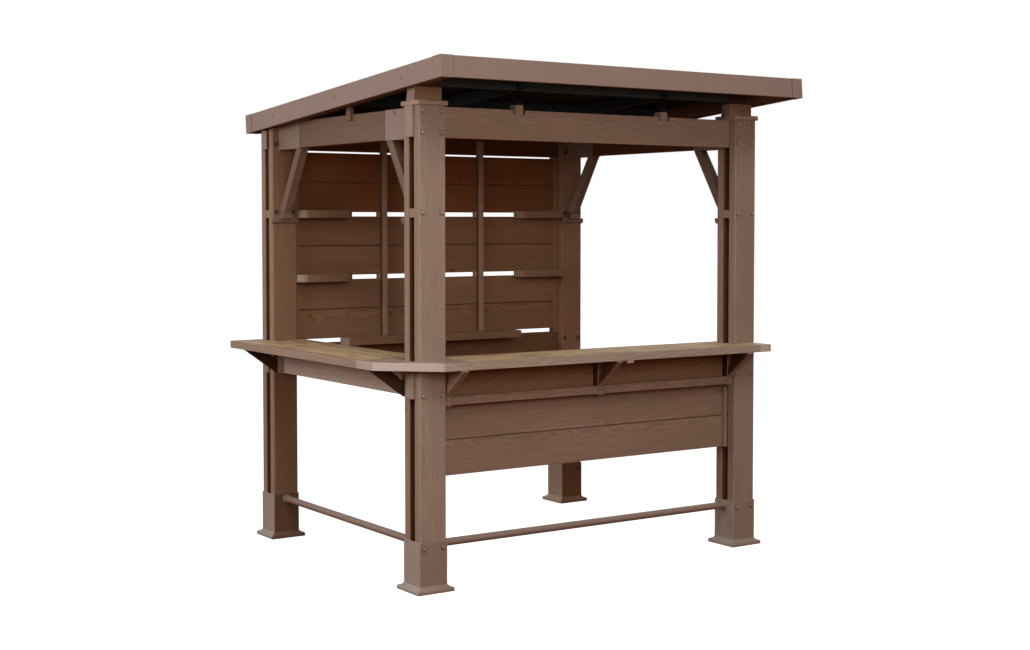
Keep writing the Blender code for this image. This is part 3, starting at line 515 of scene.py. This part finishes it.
# Knee braces: short slanting softwood struts from each post up to its side
# beam, seated on a moulded ledge and screwed through the post.
brace_wood = timber("brace_wood", (0.212, 0.136, 0.098), (0.125, 0.076, 0.052), 0.0048)
brace_shade_side = timber("brace_shade_side", (0.166, 0.106, 0.074), (0.105, 0.064, 0.044), 0.0048)
ledge_top = 1.738


def brace_rule(turn):
    """Rule for a brace that leans forward or back: its ledge, then the strut."""
    return lambda centre: ((1, 0, 0), 1) if centre.z < ledge_top else ((0, 0.56 * turn, 0.83), 0)


def brace_faces(face):
    """The left braces' outer sides are painted darker, as painted shade."""
    return 1 if face.normal.x < -0.5 and face.calc_center_median().x < 0 else 0


for row, side in CORNERS:
    lean = brace_rule(1 if row == "front" else -1)
    eased(f"knee_brace_{row}_{side}", 0.0012, lean, [brace_wood, brace_shade_side],
          brace_faces)

# Low beams under the counter at the front, left and back. The left one has a
# bracket at each end, and the back one is a deep board below the back wall.
low_wood = timber("low_beam_wood", (0.215, 0.108, 0.054), (0.120, 0.058, 0.030), 0.0058, 0.40)
low_board_wood = timber("low_board_wood", (0.165, 0.076, 0.036), (0.100, 0.045, 0.022),
                        0.0058, 0.38)
outer_low_wood = timber("outer_low_wood", (0.350, 0.265, 0.210), (0.220, 0.150, 0.112),
                        0.0058, 0.30)
bracket_shade = timber("bracket_shade", (0.044, 0.018, 0.008), (0.026, 0.011, 0.005),
                       0.0050, 0.35)
upright_t = 0.038
low_beam_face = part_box("left_beam")[0].x + 0.0175


def low_left_rule(centre):
    """Board 0 is the beam, 1 and 2 are the uprights, and 3 and 4 the slanting struts."""
    if centre.x > low_beam_face - 0.0005:
        return (0, 1, 0), 0
    if centre.x > low_beam_face - upright_t - 0.0005:
        return (0, 0, 1), 1 + int(centre.y > 0)
    return (-0.9, 0, 0.44), 3 + int(centre.y > 0)


def low_left_faces(face):
    """The struts and the back upright's outer side, deep under the counter, are painted in shade.
    """
    number = low_left_rule(face.calc_center_median())[1]
    return 1 if number > 2 or (number == 2 and face.normal.x < -0.5) else 0


eased("front_low_beam", 0.0012, along((1, 0, 0)), [low_wood, end_grain_and_lit_wood], beam_ends)
eased("back_low_beam", 0.0012, along((1, 0, 0)), [low_board_wood, end_grain_and_lit_wood], beam_ends)
eased("left_low_beam", 0.0012, low_left_rule, [outer_low_wood, bracket_shade],
      low_left_faces)

# The front under the counter: three bracket legs with slanting struts, joined
# by a ledge strip, and below it a panel of two wide boards between the posts.
panel_wood = timber("panel_wood", (0.246, 0.156, 0.110), (0.145, 0.084, 0.056), 0.0068, 0.42, 0.18)
panel_joint = sum(corner.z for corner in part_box("front_panel")) / 2
leg_face, leg_w = front_y + 0.013, 0.038
leg_xs = [left_x + x for x in (0.1403, 1.0235, 1.8687)]


def panel_rule(centre):
    """Two wide boards, and an upright batten in front of each end."""
    if centre.y < plank_gap["front"] - 0.0010:
        return (0, 0, 1), 2 + int(centre.x > 0)
    return (1, 0, 0), int(centre.z > panel_joint)


def rail_rule(centre):
    """Slanting struts, three upright legs, and the ledge strip on both sides of the middle leg."""
    if centre.y < leg_face - 0.0005:
        return (0, -0.77, 0.64), 10 + int(centre.x * 2 + 4)
    for number, start in enumerate(leg_xs):
        if start - 0.0005 < centre.x < start + leg_w + 0.0005:
            return (0, 0, 1), number
    return (1, 0, 0), 5 + int(centre.x > leg_xs[1])


def panel_faces(face):
    """The V groove between the two boards is painted in shade."""
    near = abs(face.calc_center_median().z - panel_joint) < 0.005
    return 1 if near and abs(face.normal.z) > 0.4 else 0


eased("front_panel", 0.0010, panel_rule, [panel_wood, shade_wood], panel_faces)


def rail_faces(face):
    """The left sides of the middle and right brackets are in deeper and deeper shade."""
    x = face.calc_center_median().x - left_x
    return 0 if face.normal.x > -0.5 or x < 1.0 else 1 if x < 1.8 else 2


rail_finishes = [panel_wood, shade_wood, bracket_shade]
eased("front_bracket_rail", 0.0011, rail_rule, rail_finishes, rail_faces)

# The counter: a mitred corner piece, a long front top and a left top, each of
# boards glued edge to edge. The stain is rubbed back to a tan wood on the tops,
# and stays in patches, round the knots and along the rims. Edges keep it.
BOARD_W = 0.1054


def rubbed_top(name, axis, low, high):
    """Finish of a top whose boards lie side by side along one axis, from low to high."""
    def across(p):
        place = p.node("ShaderNodeTexCoord", {}, {}, "Object")
        return p.node("ShaderNodeSeparateXYZ", {}, {0: place}, axis)

    def lay(p, grain):
        number = p.math("FLOOR", (across(p) - low) / BOARD_W)
        luck = p.node("ShaderNodeTexWhiteNoise", {"noise_dimensions": "1D"}, {"W": number}, "Color")
        return p.vector("ADD", grain, p.vector("MULTIPLY", luck, (9.0, 0.05, 0.03)))

    def rub(p, grain, colour):
        kept_stain, seam_stain = (0.200, 0.116, 0.068, 1.0), (0.13, 0.085, 0.055, 1.0)
        at = across(p)
        rim = p.math("MINIMUM", at - low, high - at)
        fray = p.noise(grain, (14.0, 60.0, 60.0), 4.0, 0.65)
        edge = p.step(rim + (fray - 0.5) * 0.085, 0.006, 0.046, 1.0, 0.0)
        patch = p.step(p.noise(grain, (4.2, 19.0, 19.0), 4.0, 0.68), 0.49, 0.56)
        wide = p.step(p.noise(grain, (1.6, 9.0, 9.0), 2.0, 0.5), 0.42, 0.66)
        kept = p.math("MAXIMUM", edge * 0.85, patch * (0.40 + wide * 0.55))
        joint = p.math("ABSOLUTE", p.math("FRACT", (at - low) / BOARD_W + 0.5) - 0.5)
        seam = p.step(joint, 0.003, 0.009, 1.0, 0.0)
        colour = p.blend(kept, colour, kept_stain)
        return p.blend(seam * 0.55, colour, seam_stain)

    return timber(name, (0.510, 0.356, 0.194), (0.345, 0.230, 0.120),
                  0.0085, 0.50, 0.20, 0.60, lay, rub)


edge_wood = timber("edge_wood", (0.325, 0.246, 0.190), (0.215, 0.148, 0.112), 0.0060, 0.45)
# The left counter's edges are painted darker: painted shade.
shaded_left_edge = timber("shaded_left_edge", (0.268, 0.192, 0.146), (0.175, 0.115, 0.085), 0.0060, 0.45)
# The corner's left-facing edges are painted lighter: painted light.
lit_corner_edge = timber("lit_corner_edge", (0.340, 0.272, 0.220), (0.235, 0.172, 0.135), 0.0060, 0.45)
# The corner's cut edge and the front counter's end are painted lighter: painted light.
lit_edge_wood = timber("lit_edge_wood", (0.430, 0.354, 0.302), (0.320, 0.250, 0.206), 0.0060, 0.40)


def top_faces(face):
    """The top is rubbed, and edges and underside aren't."""
    return 0 if face.normal.z > 0.9 else 1


def dark_marks(p, grain, colour):
    """Small dark marks where the stain gathered."""
    mark = p.step(p.noise(grain, (5.0, 26.0, 26.0), 4.0, 0.68), 0.54, 0.62)
    return p.blend(mark * 0.8, colour, (0.120, 0.076, 0.052, 1.0))


corner_top = timber("corner_top", (0.300, 0.212, 0.164), (0.200, 0.135, 0.100), 0.0060, 0.45,
                    rub=dark_marks)


def corner_faces(face):
    """0 edges that aren't seen, 1 front edge, 2 cut and left edge, 3 top."""
    if face.normal.z > 0.9:
        return 3
    if abs(face.normal.z) > 0.4 or face.normal.x > -0.5:
        return 0
    return 1 if face.normal.y < -0.5 else 2


front_low, front_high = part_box("counter_front")
left_low, left_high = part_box("counter_left")
front_top = rubbed_top("front_top", "Y", front_low.y, front_high.y)
left_top = rubbed_top("left_top", "X", left_low.x, left_high.x)
eased("counter_front", 0.0016, along((1, 0, 0)), [front_top, edge_wood], top_faces)
eased("counter_left", 0.0016, along((0, 1, 0)), [left_top, shaded_left_edge], top_faces)
corner_finishes = [edge_wood, lit_edge_wood, lit_corner_edge, corner_top]
eased("counter_corner", 0.0016, along((1, 0, 0)), corner_finishes, corner_faces)
eased("counter_front_end", 0.0014, along((0, 1, 0)), [lit_edge_wood])
eased("counter_left_end", 0.0014, along((1, 0, 0)), [shaded_left_edge])

# The back wall: three pairs of wide horizontal boards with open slits between
# them, nailed to slim upright battens, in a darker stain than the posts.
wall_wood = timber("wall_wood", (0.236, 0.117, 0.058), (0.130, 0.058, 0.028), 0.0064, 0.50, 0.30)
# The upper boards' fronts are painted darker: painted shade.
wall_upper_shade = timber("wall_upper_shade", (0.203, 0.072, 0.022), (0.112, 0.036, 0.011), 0.0064, 0.45, 0.28)
# The lower boards' fronts are painted lighter: painted light.
wall_lower_lit = timber("wall_lower_lit", (0.260, 0.134, 0.072), (0.145, 0.070, 0.036), 0.0064, 0.50, 0.30)
BOARD_T, BOARD_H, SLIT = 0.019, 0.162, 0.0238
PAIR_PITCH = 2 * BOARD_H + SLIT
wall_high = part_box("back_wall")[1]
board_face = wall_high.y - BOARD_T
first_top = wall_high.z + 0.0003 - 0.010


def pair_and_depth(z):
    """Which pair of boards a height is in, counted from the top, and how far down it."""
    reach = (first_top - z) / PAIR_PITCH
    pair = int(reach)
    return pair, (reach - pair) * PAIR_PITCH


def wall_rule(centre):
    """The battens, each a length of its own, and six boards."""
    if centre.y < board_face - 0.0008:
        return (0, 0, 1), 40 + int((centre.x + 2) * 8)
    pair, down = pair_and_depth(centre.z)
    return (1, 0, 0), 2 * pair + int(down > BOARD_H)


# Finish 2 paints shade on the middle battens' left sides and in the V grooves; 3 and 4 paint shade
# and light on the upper and lower boards' fronts.
def wall_faces(face):
    """0 middle boards, backs and end battens, 1 middle battens, 2 their left sides and
    the V grooves, 3 upper boards, 4 lower boards."""
    centre = face.calc_center_median()
    if centre.y < board_face - 0.0008:
        return 0 if abs(centre.x) > 0.8 else 2 if face.normal.x < -0.5 else 1
    pair, down = pair_and_depth(centre.z)
    if abs(face.normal.z) > 0.4 and abs(down - BOARD_H) < 0.006:
        return 2
    return (3, 0, 4)[min(pair, 2)] if face.normal.y < -0.5 else 0


batten_wood = timber("batten_wood", (0.345, 0.215, 0.150), (0.205, 0.120, 0.078), 0.0050)
wall_finishes = [wall_wood, batten_wood, shade_wood, wall_upper_shade, wall_lower_lit]
eased("back_wall", 0.0010, wall_rule, wall_finishes, wall_faces)

# Shelves: thick solid boards with cut front corners, fixed level with the
# slits, and one wide shelf low down in the middle.
shelf_wood = timber("shelf_wood", (0.235, 0.128, 0.074), (0.140, 0.072, 0.042), 0.0055)


def cut_faces(face):
    """The cut corners of the left shelves are painted paler, as painted light."""
    return 1 if face.normal.x < -0.3 and face.calc_center_median().x < 0 else 0


for place in ("upper_left", "upper_right", "middle_left", "middle_right", "lower_wide"):
    eased("shelf_" + place, 0.0018, along((1, 0, 0)), [shelf_wood, end_grain_and_lit_wood],
          cut_faces)

# Footrests: round steel tubes with a short socket at each end, coated brown
# like the boots they run between.
tube_coat = coated("tube_coat", (0.225, 0.152, 0.118), 0.40)
for node, axis in (("footrest_front", (1, 0, 0)), ("footrest_left", (0, 1, 0))):
    eased(node, 0.0008, along(axis), [tube_coat])

# The roof's edge: four folded sheet metal boards, coated brown, with a cap
# over each corner.
edge_coat = coated("edge_coat", (0.226, 0.151, 0.119), 0.42)
for side in ("front", "back", "left", "right"):
    eased("fascia_" + side, 0.0008, along((1, 0, 0)), [edge_coat])

# Roof timbers and steel: a wooden rafter inside each side edge, a black coated
# steel grid between them, and the black ribbed sheet that it carries.
rafter_wood = timber("rafter_wood", (0.120, 0.064, 0.038), (0.075, 0.040, 0.024), 0.0058)
down_slope = (0, math.cos(ROOF_FALL), -math.sin(ROOF_FALL))
for side in ("left", "right"):
    eased("side_rafter_" + side, 0.0014, along(down_slope), [rafter_wood])
grey_dust, dull = (0.10, 0.10, 0.10), 1.22
steel_coat = coated("black_steel", (0.0210, 0.0310, 0.0360), 0.60, dust=grey_dust, shine=dull)
# The front rail's front face is painted lighter: painted light.
lit_rail_coat = coated("lit_rail_steel", (0.0640, 0.1000, 0.1250), 0.60, dust=grey_dust, shine=dull)
sheet_coat = coated("black_sheet", (0.0060, 0.0070, 0.0072), 0.55, dust=(0.050, 0.049, 0.047),
                    shine=dull)


def rail_front(face):
    """0 bars, 1 the front rail's front face, painted lighter as painted light, 2 the short legs
    that stand on the saddles.
    """
    centre = face.calc_center_median()
    if face.calc_perimeter() < 0.6:
        return 2 if abs(centre.y - plank_gap["front"]) < 0.03 else 0
    return 1 if face.normal.y < -0.5 and centre.y < plank_gap["front"] else 0


frame_finishes = [steel_coat, lit_rail_coat, sheet_coat]
eased("roof_frame", 0.0010, along((0, 1, 0)), frame_finishes, rail_front)
eased("roof_sheet", 0.0006, along((0, 1, 0)), [sheet_coat], hard=80.0)

# Fixings: hex bolts with washers through the posts, pan head screws in the
# sheet metal and the trim, sealing screws in the roof sheet and nails in the
# back wall. All are steel, in the colour of what they hold. Dark rings under
# the bolt and screw heads are painted shadows, and the bolts on the back posts'
# inner sides are painted darker as painted shade.
heads = bpy.data.node_groups.new("fixing_heads", "GeometryNodeTree")
heads.interface.new_socket("Heads", in_out="OUTPUT", socket_type="NodeSocketGeometry")
socket_of = {}
for word, kind in (("Spots", "Geometry"), ("Sides", "Int"), ("Head radius", "Float"),
                   ("Head height", "Float"), ("Crown", "Float"), ("Washer radius", "Float"),
                   ("Washer height", "Float"), ("Seed", "Int"), ("Finish", "Material")):
    made = heads.interface.new_socket(word, in_out="INPUT", socket_type="NodeSocket" + kind)
    socket_of[word] = made.identifier
entry = heads.nodes.new("NodeGroupInput")


def place_node(kind, settings, sockets, out=0):
    """Node of the fixings' tree.

    A string names an input of the tree, a socket is linked and a number is set.
    """
    made = heads.nodes.new(kind)
    for key, value in settings.items():
        setattr(made, key, value)
    for key, value in sockets.items():
        for one in value if isinstance(value, list) else [value]:
            one = entry.outputs[one] if isinstance(one, str) else one
            if isinstance(one, bpy.types.NodeSocket):
                heads.links.new(one, made.inputs[key])
            else:
                made.inputs[key].default_value = one
    return made.outputs[out] if made.outputs else made


def product(a, b):
    """Product of two sizes."""
    return place_node("ShaderNodeMath", {"operation": "MULTIPLY"}, {0: a, 1: b})


def raised(shape, height):
    """The shape, lifted to a height."""
    lift = place_node("ShaderNodeCombineXYZ", {}, {"Z": height})
    return place_node("GeometryNodeTransform", {}, {"Geometry": shape, "Translation": lift})


shoulder = product("Head radius", 0.94)
low_height, high_height = product("Head height", 0.7), product("Head height", 0.3)
low_part = place_node("GeometryNodeMeshCone", {"fill_type": "NGON"}, {
    "Vertices": "Sides", "Radius Bottom": "Head radius", "Radius Top": shoulder,
    "Depth": low_height})
high_part = place_node("GeometryNodeMeshCone", {"fill_type": "NGON"}, {
    "Vertices": "Sides", "Radius Bottom": shoulder, "Radius Top": product("Head radius", "Crown"),
    "Depth": high_height})
disc = place_node("GeometryNodeMeshCylinder", {"fill_type": "NGON"}, {
    "Vertices": 20, "Radius": "Washer radius", "Depth": "Washer height"})
shoulder_z = place_node("ShaderNodeMath", {"operation": "ADD"}, {0: "Washer height", 1: low_height})
shape = place_node("GeometryNodeJoinGeometry", {}, {0: [
    raised(disc, product("Washer height", 0.5)), raised(low_part, "Washer height"),
    raised(high_part, shoulder_z)]})
facing = place_node("GeometryNodeInputNamedAttribute", {"data_type": "FLOAT_VECTOR"}, {})
facing.node.inputs["Name"].default_value = "out"
turned = place_node("FunctionNodeAlignRotationToVector", {"axis": "Z"}, {"Vector": facing})
chance = place_node("FunctionNodeRandomValue", {"data_type": "FLOAT"},
                    {2: 0.0, 3: 2 * math.pi, "Seed": "Seed"}, 1)
spin = place_node("FunctionNodeAxisAngleToRotation", {}, {"Axis": (0.0, 0.0, 1.0), "Angle": chance})
turned = place_node("FunctionNodeRotateRotation", {"rotation_space": "LOCAL"},
                    {"Rotation": turned, "Rotate By": spin})
spots = place_node("GeometryNodeMeshToPoints", {}, {"Mesh": "Spots"})
copies = place_node("GeometryNodeInstanceOnPoints", {}, {
    "Points": spots, "Instance": shape, "Rotation": turned})
plain = place_node("GeometryNodeRealizeInstances", {}, {"Geometry": copies})
painted = place_node("GeometryNodeSetMaterial", {}, {"Geometry": plain, "Material": "Finish"})
place_node("NodeGroupOutput", {}, {0: painted})


def fixings(name, spots, sizes, finish):
    """Heads on their spots, each a point and the way it faces."""
    cloud = bpy.data.meshes.new(name)
    cloud.from_pydata([point for point, out in spots], [], [])
    facing = cloud.attributes.new("out", "FLOAT_VECTOR", "POINT")
    for way, (point, out) in zip(facing.data, spots):
        way.vector = out
    piece = bpy.data.objects.new(name, cloud)
    scene.collection.objects.link(piece)
    maker = piece.modifiers.new("heads", "NODES")
    maker.node_group = heads
    for word, value in {**sizes, "Seed": 7, "Finish": finish}.items():
        maker[socket_of[word]] = value
    made = piece.evaluated_get(bpy.context.evaluated_depsgraph_get())
    solid = bpy.data.meshes.new_from_object(made)
    piece.modifiers.remove(maker)
    piece.data = solid
    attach(piece, "root")


def at(x, y, z):
    """Place measured from the near left post's outer front corner."""
    return left_x + x, front_y + y, z


FORWARD, BACKWARD, LEFTWARD, RIGHTWARD = (0, -1, 0), (0, 1, 0), (-1, 0, 0), (1, 0, 0)
span_x, span_y = right_x + PLANK_W - left_x, rear_y + POST_T - front_y
inner_y = span_y - POST_T
boot_out = 0.0033
bolt = {"Sides": 6, "Head radius": 0.0092, "Head height": 0.0070, "Crown": 0.74,
        "Washer radius": 0.0100, "Washer height": 0.0022}
screw = {"Sides": 14, "Head radius": 0.0046, "Head height": 0.0022, "Crown": 0.55,
         "Washer radius": 0.0050, "Washer height": 0.0004}
seal_screw = {"Sides": 6, "Head radius": 0.0042, "Head height": 0.0042, "Crown": 0.85,
              "Washer radius": 0.0078, "Washer height": 0.0014}
# The rings are dark discs under the heads: painted shadows.
ring = {"Sides": 20, "Head radius": 0.0080, "Head height": 0.0004, "Crown": 0.90,
        "Washer radius": 0.0130, "Washer height": 0.0012}
small_shadow_ring = {**ring, "Head radius": 0.0050, "Washer radius": 0.0078, "Washer height": 0.0006}
nail = {"Sides": 10, "Head radius": 0.0030, "Head height": 0.0006, "Crown": 0.80,
        "Washer radius": 0.0022, "Washer height": 0.0002}

post_bolts = []
boot_bolts = []
shaded_bolts = []
boot_bolt_z = 0.206
for start in (0.0, span_x - PLANK_W):
    for x in (start + 0.0190, start + 0.1190):
        post_bolts += [(at(x, 0, z), FORWARD) for z in (2.212, 2.111, 1.747, 0.909)]
        post_bolts += [(at(x, POST_T, z), BACKWARD) for z in (2.205, 1.758)]
        post_bolts += [(at(x, span_y, z), BACKWARD) for z in (2.160, 2.112, 1.750, 0.985, 0.909)]
        shaded_bolts += [(at(x, inner_y, z), FORWARD) for z in (2.120, 1.758)]
        if start > 0:
            shaded_bolts += [(at(x, inner_y, 1.002), FORWARD)]
            shaded_bolts += [(at(x, inner_y - boot_out, boot_bolt_z), FORWARD)]
        boot_bolts += [(at(x, -boot_out, boot_bolt_z), FORWARD)]
        boot_bolts += [(at(x, span_y + boot_out, boot_bolt_z), BACKWARD)]
bolt_coat = coated("bolt_coat", (0.300, 0.212, 0.166), 0.32)
# Painted shadow round the bolt and screw heads.
shadow_ring_coat = coated("shadow_ring_coat", (0.135, 0.082, 0.058), 0.50)
fixings("post_bolts", post_bolts, bolt, bolt_coat)
fixings("post_shadow_rings", post_bolts, ring, shadow_ring_coat)
fixings("boot_bolts", boot_bolts, bolt, boot_coat)
fixings("boot_shadow_rings", boot_bolts, ring, shadow_ring_coat)
shade_coat = coated("shade_bolt_coat", (0.078, 0.034, 0.012), 0.55)
fixings("inner_bolts", shaded_bolts, bolt, shade_coat)
fixings("inner_shadow_rings", shaded_bolts, ring, shade_coat)

sleeve_screws = []
sleeve_half = 0.0293
for middle in (PLANK_W / 2, span_x - PLANK_W / 2):
    sleeve_screws += [(at(middle - sleeve_half, 0.2969, 2.2155), LEFTWARD),
                      (at(middle + sleeve_half, 0.2969, 2.2155), RIGHTWARD)]
fixings("sleeve_screws", sleeve_screws, screw, sleeve_coat)
fixings("sleeve_shadow_rings", sleeve_screws, {**small_shadow_ring, "Washer radius": 0.0100}, shadow_ring_coat)

side_over, front_over, roof_top = 0.056, 0.277, 2.434986
roof_width = span_x + 2 * side_over
roof_up = (0.0, math.sin(ROOF_FALL), math.cos(ROOF_FALL))


def on_roof(u, v, w):
    """Place on the roof: across from its left edge, down the slope and up from its top."""
    s, c = math.sin(ROOF_FALL), math.cos(ROOF_FALL)
    return at(-side_over + u, -front_over + v * c + w * s, roof_top - v * s + w * c)


edge_screws = []
for u, out in ((0.0, LEFTWARD), (roof_width, RIGHTWARD)):
    edge_screws += [(on_roof(u, v, w), out)
                    for v, w in ((0.349, -0.0485), (1.006, -0.0425), (1.700, -0.0425))]
fixings("edge_screws", edge_screws, {**screw, "Head height": 0.0016}, edge_coat)
fixings("edge_shadow_rings", edge_screws, small_shadow_ring, shadow_ring_coat)

ledge_screws = [(at(x, 0.015, z), FORWARD) for x, z in ((0.567, 0.8660), (1.531, 0.8860))]
ledge_screws += [(at(x, 0.013, z), FORWARD)
                 for x in (0.1593, 1.0425, 1.8877) for z in (0.868, 0.884)]
fixings("ledge_screws", ledge_screws, screw, bolt_coat)

sheet_screws = []
ribs, sheet_start, sheet_width, sheet_down = 21, 0.0033, 2.1524, 0.0213
for rib in range(ribs):
    u = sheet_start + (rib + 0.26) * sheet_width / ribs
    sheet_screws += [(on_roof(u, v, -sheet_down), roof_up) for v in (0.060, 0.349, 1.012, 1.876)]
fixings("sheet_screws", sheet_screws, seal_screw, sheet_coat)

wall_nails = []
batten_xs = (0.155, 0.697, 1.339, 1.892)
nail_pitch = 2 * 0.1625 + SLIT
for x in batten_xs:
    for pair in range(3):
        top = first_top - pair * nail_pitch
        for down in (0.030, 0.130, 0.195, 0.295):
            for aside in (-0.008, 0.008):
                wall_nails.append(((left_x + x + aside, wall_high.y, top - down), BACKWARD))
fixings("wall_nails", wall_nails, nail, bolt_coat)

# Small parts: thin dark strips along the roof's corner caps, painted shadows of
# their seams, the heads of the wall battens in front of the back beam, and a
# cleat under the front counter's edge.
def block(name, blocks, ease, finish):
    """Square pieces with eased edges, each given by its eight corners."""
    sides = ((0, 3, 2, 1), (4, 5, 6, 7), (0, 1, 5, 4), (1, 2, 6, 5), (2, 3, 7, 6), (3, 0, 4, 7))
    bm = bmesh.new()
    for corners in blocks:
        verts = [bm.verts.new(corner) for corner in corners]
        for side in sides:
            bm.faces.new([verts[i] for i in side])
    bmesh.ops.recalc_face_normals(bm, faces=bm.faces)
    bmesh.ops.bevel(bm, geom=list(bm.edges), offset=ease, segments=2, profile=0.5, affect="EDGES")
    place = bm.loops.layers.float_vector.new("grain")
    for face in bm.faces:
        for loop in face.loops:
            loop[place] = (loop.vert.co.z, loop.vert.co.x + 0.03, loop.vert.co.y + 0.05)
    mesh = bpy.data.meshes.new(name)
    bm.to_mesh(mesh)
    bm.free()
    mesh.materials.append(finish)
    piece = bpy.data.objects.new(name, mesh)
    scene.collection.objects.link(piece)
    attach(piece, "root")


def eight(place, a, b):
    """Corners of a box from a to b, in the terms of a placing rule."""
    plan = ((a[0], a[1]), (b[0], a[1]), (b[0], b[1]), (a[0], b[1]))
    return [place(x, y, a[2]) for x, y in plan] + [place(x, y, b[2]) for x, y in plan]


# Thin dark strips beside the corner caps paint the shadow of their seams.
seam_shadow_coat = coated("seam_shadow_coat", (0.060, 0.034, 0.024), 0.55)
roof_length = (span_y + 0.345) / math.cos(ROOF_FALL)
cap_w, shadow_w, shadow_out, shadow_in = 0.0650, 0.0024, 0.0011, 0.0004
edge_low, edge_high = -0.0965, -0.0006
seam_shadow_blocks = []
for near, far in ((-shadow_out, shadow_in), (roof_length - shadow_in, roof_length + shadow_out)):
    for u in (cap_w, roof_width - cap_w - shadow_w):
        seam_shadow_blocks.append(eight(on_roof, (u, near, edge_low), (u + shadow_w, far, edge_high)))
for near, far in ((-shadow_out, shadow_in), (roof_width - shadow_in, roof_width + shadow_out)):
    for v in (cap_w, roof_length - cap_w - shadow_w):
        seam_shadow_blocks.append(eight(on_roof, (near, v, edge_low), (far, v + shadow_w, edge_high)))
block("corner_seam_shadows", seam_shadow_blocks, 0.0004, seam_shadow_coat)

back_y, batten_half, batten_t = inner_y + PLANK_T, 0.0165, 0.030
batten_heads = []
for x in batten_xs[1:3]:
    near, far = (x - batten_half, back_y - batten_t, 2.0925), (x + batten_half, back_y, 2.172)
    batten_heads.append(eight(at, near, far))
block("batten_heads", batten_heads, 0.0015, batten_wood)

cleat = eight(at, (1.101, -0.127, 1.0160), (1.139, -0.085, 1.0287))
block("edge_cleat", [cleat], 0.0010, edge_wood)
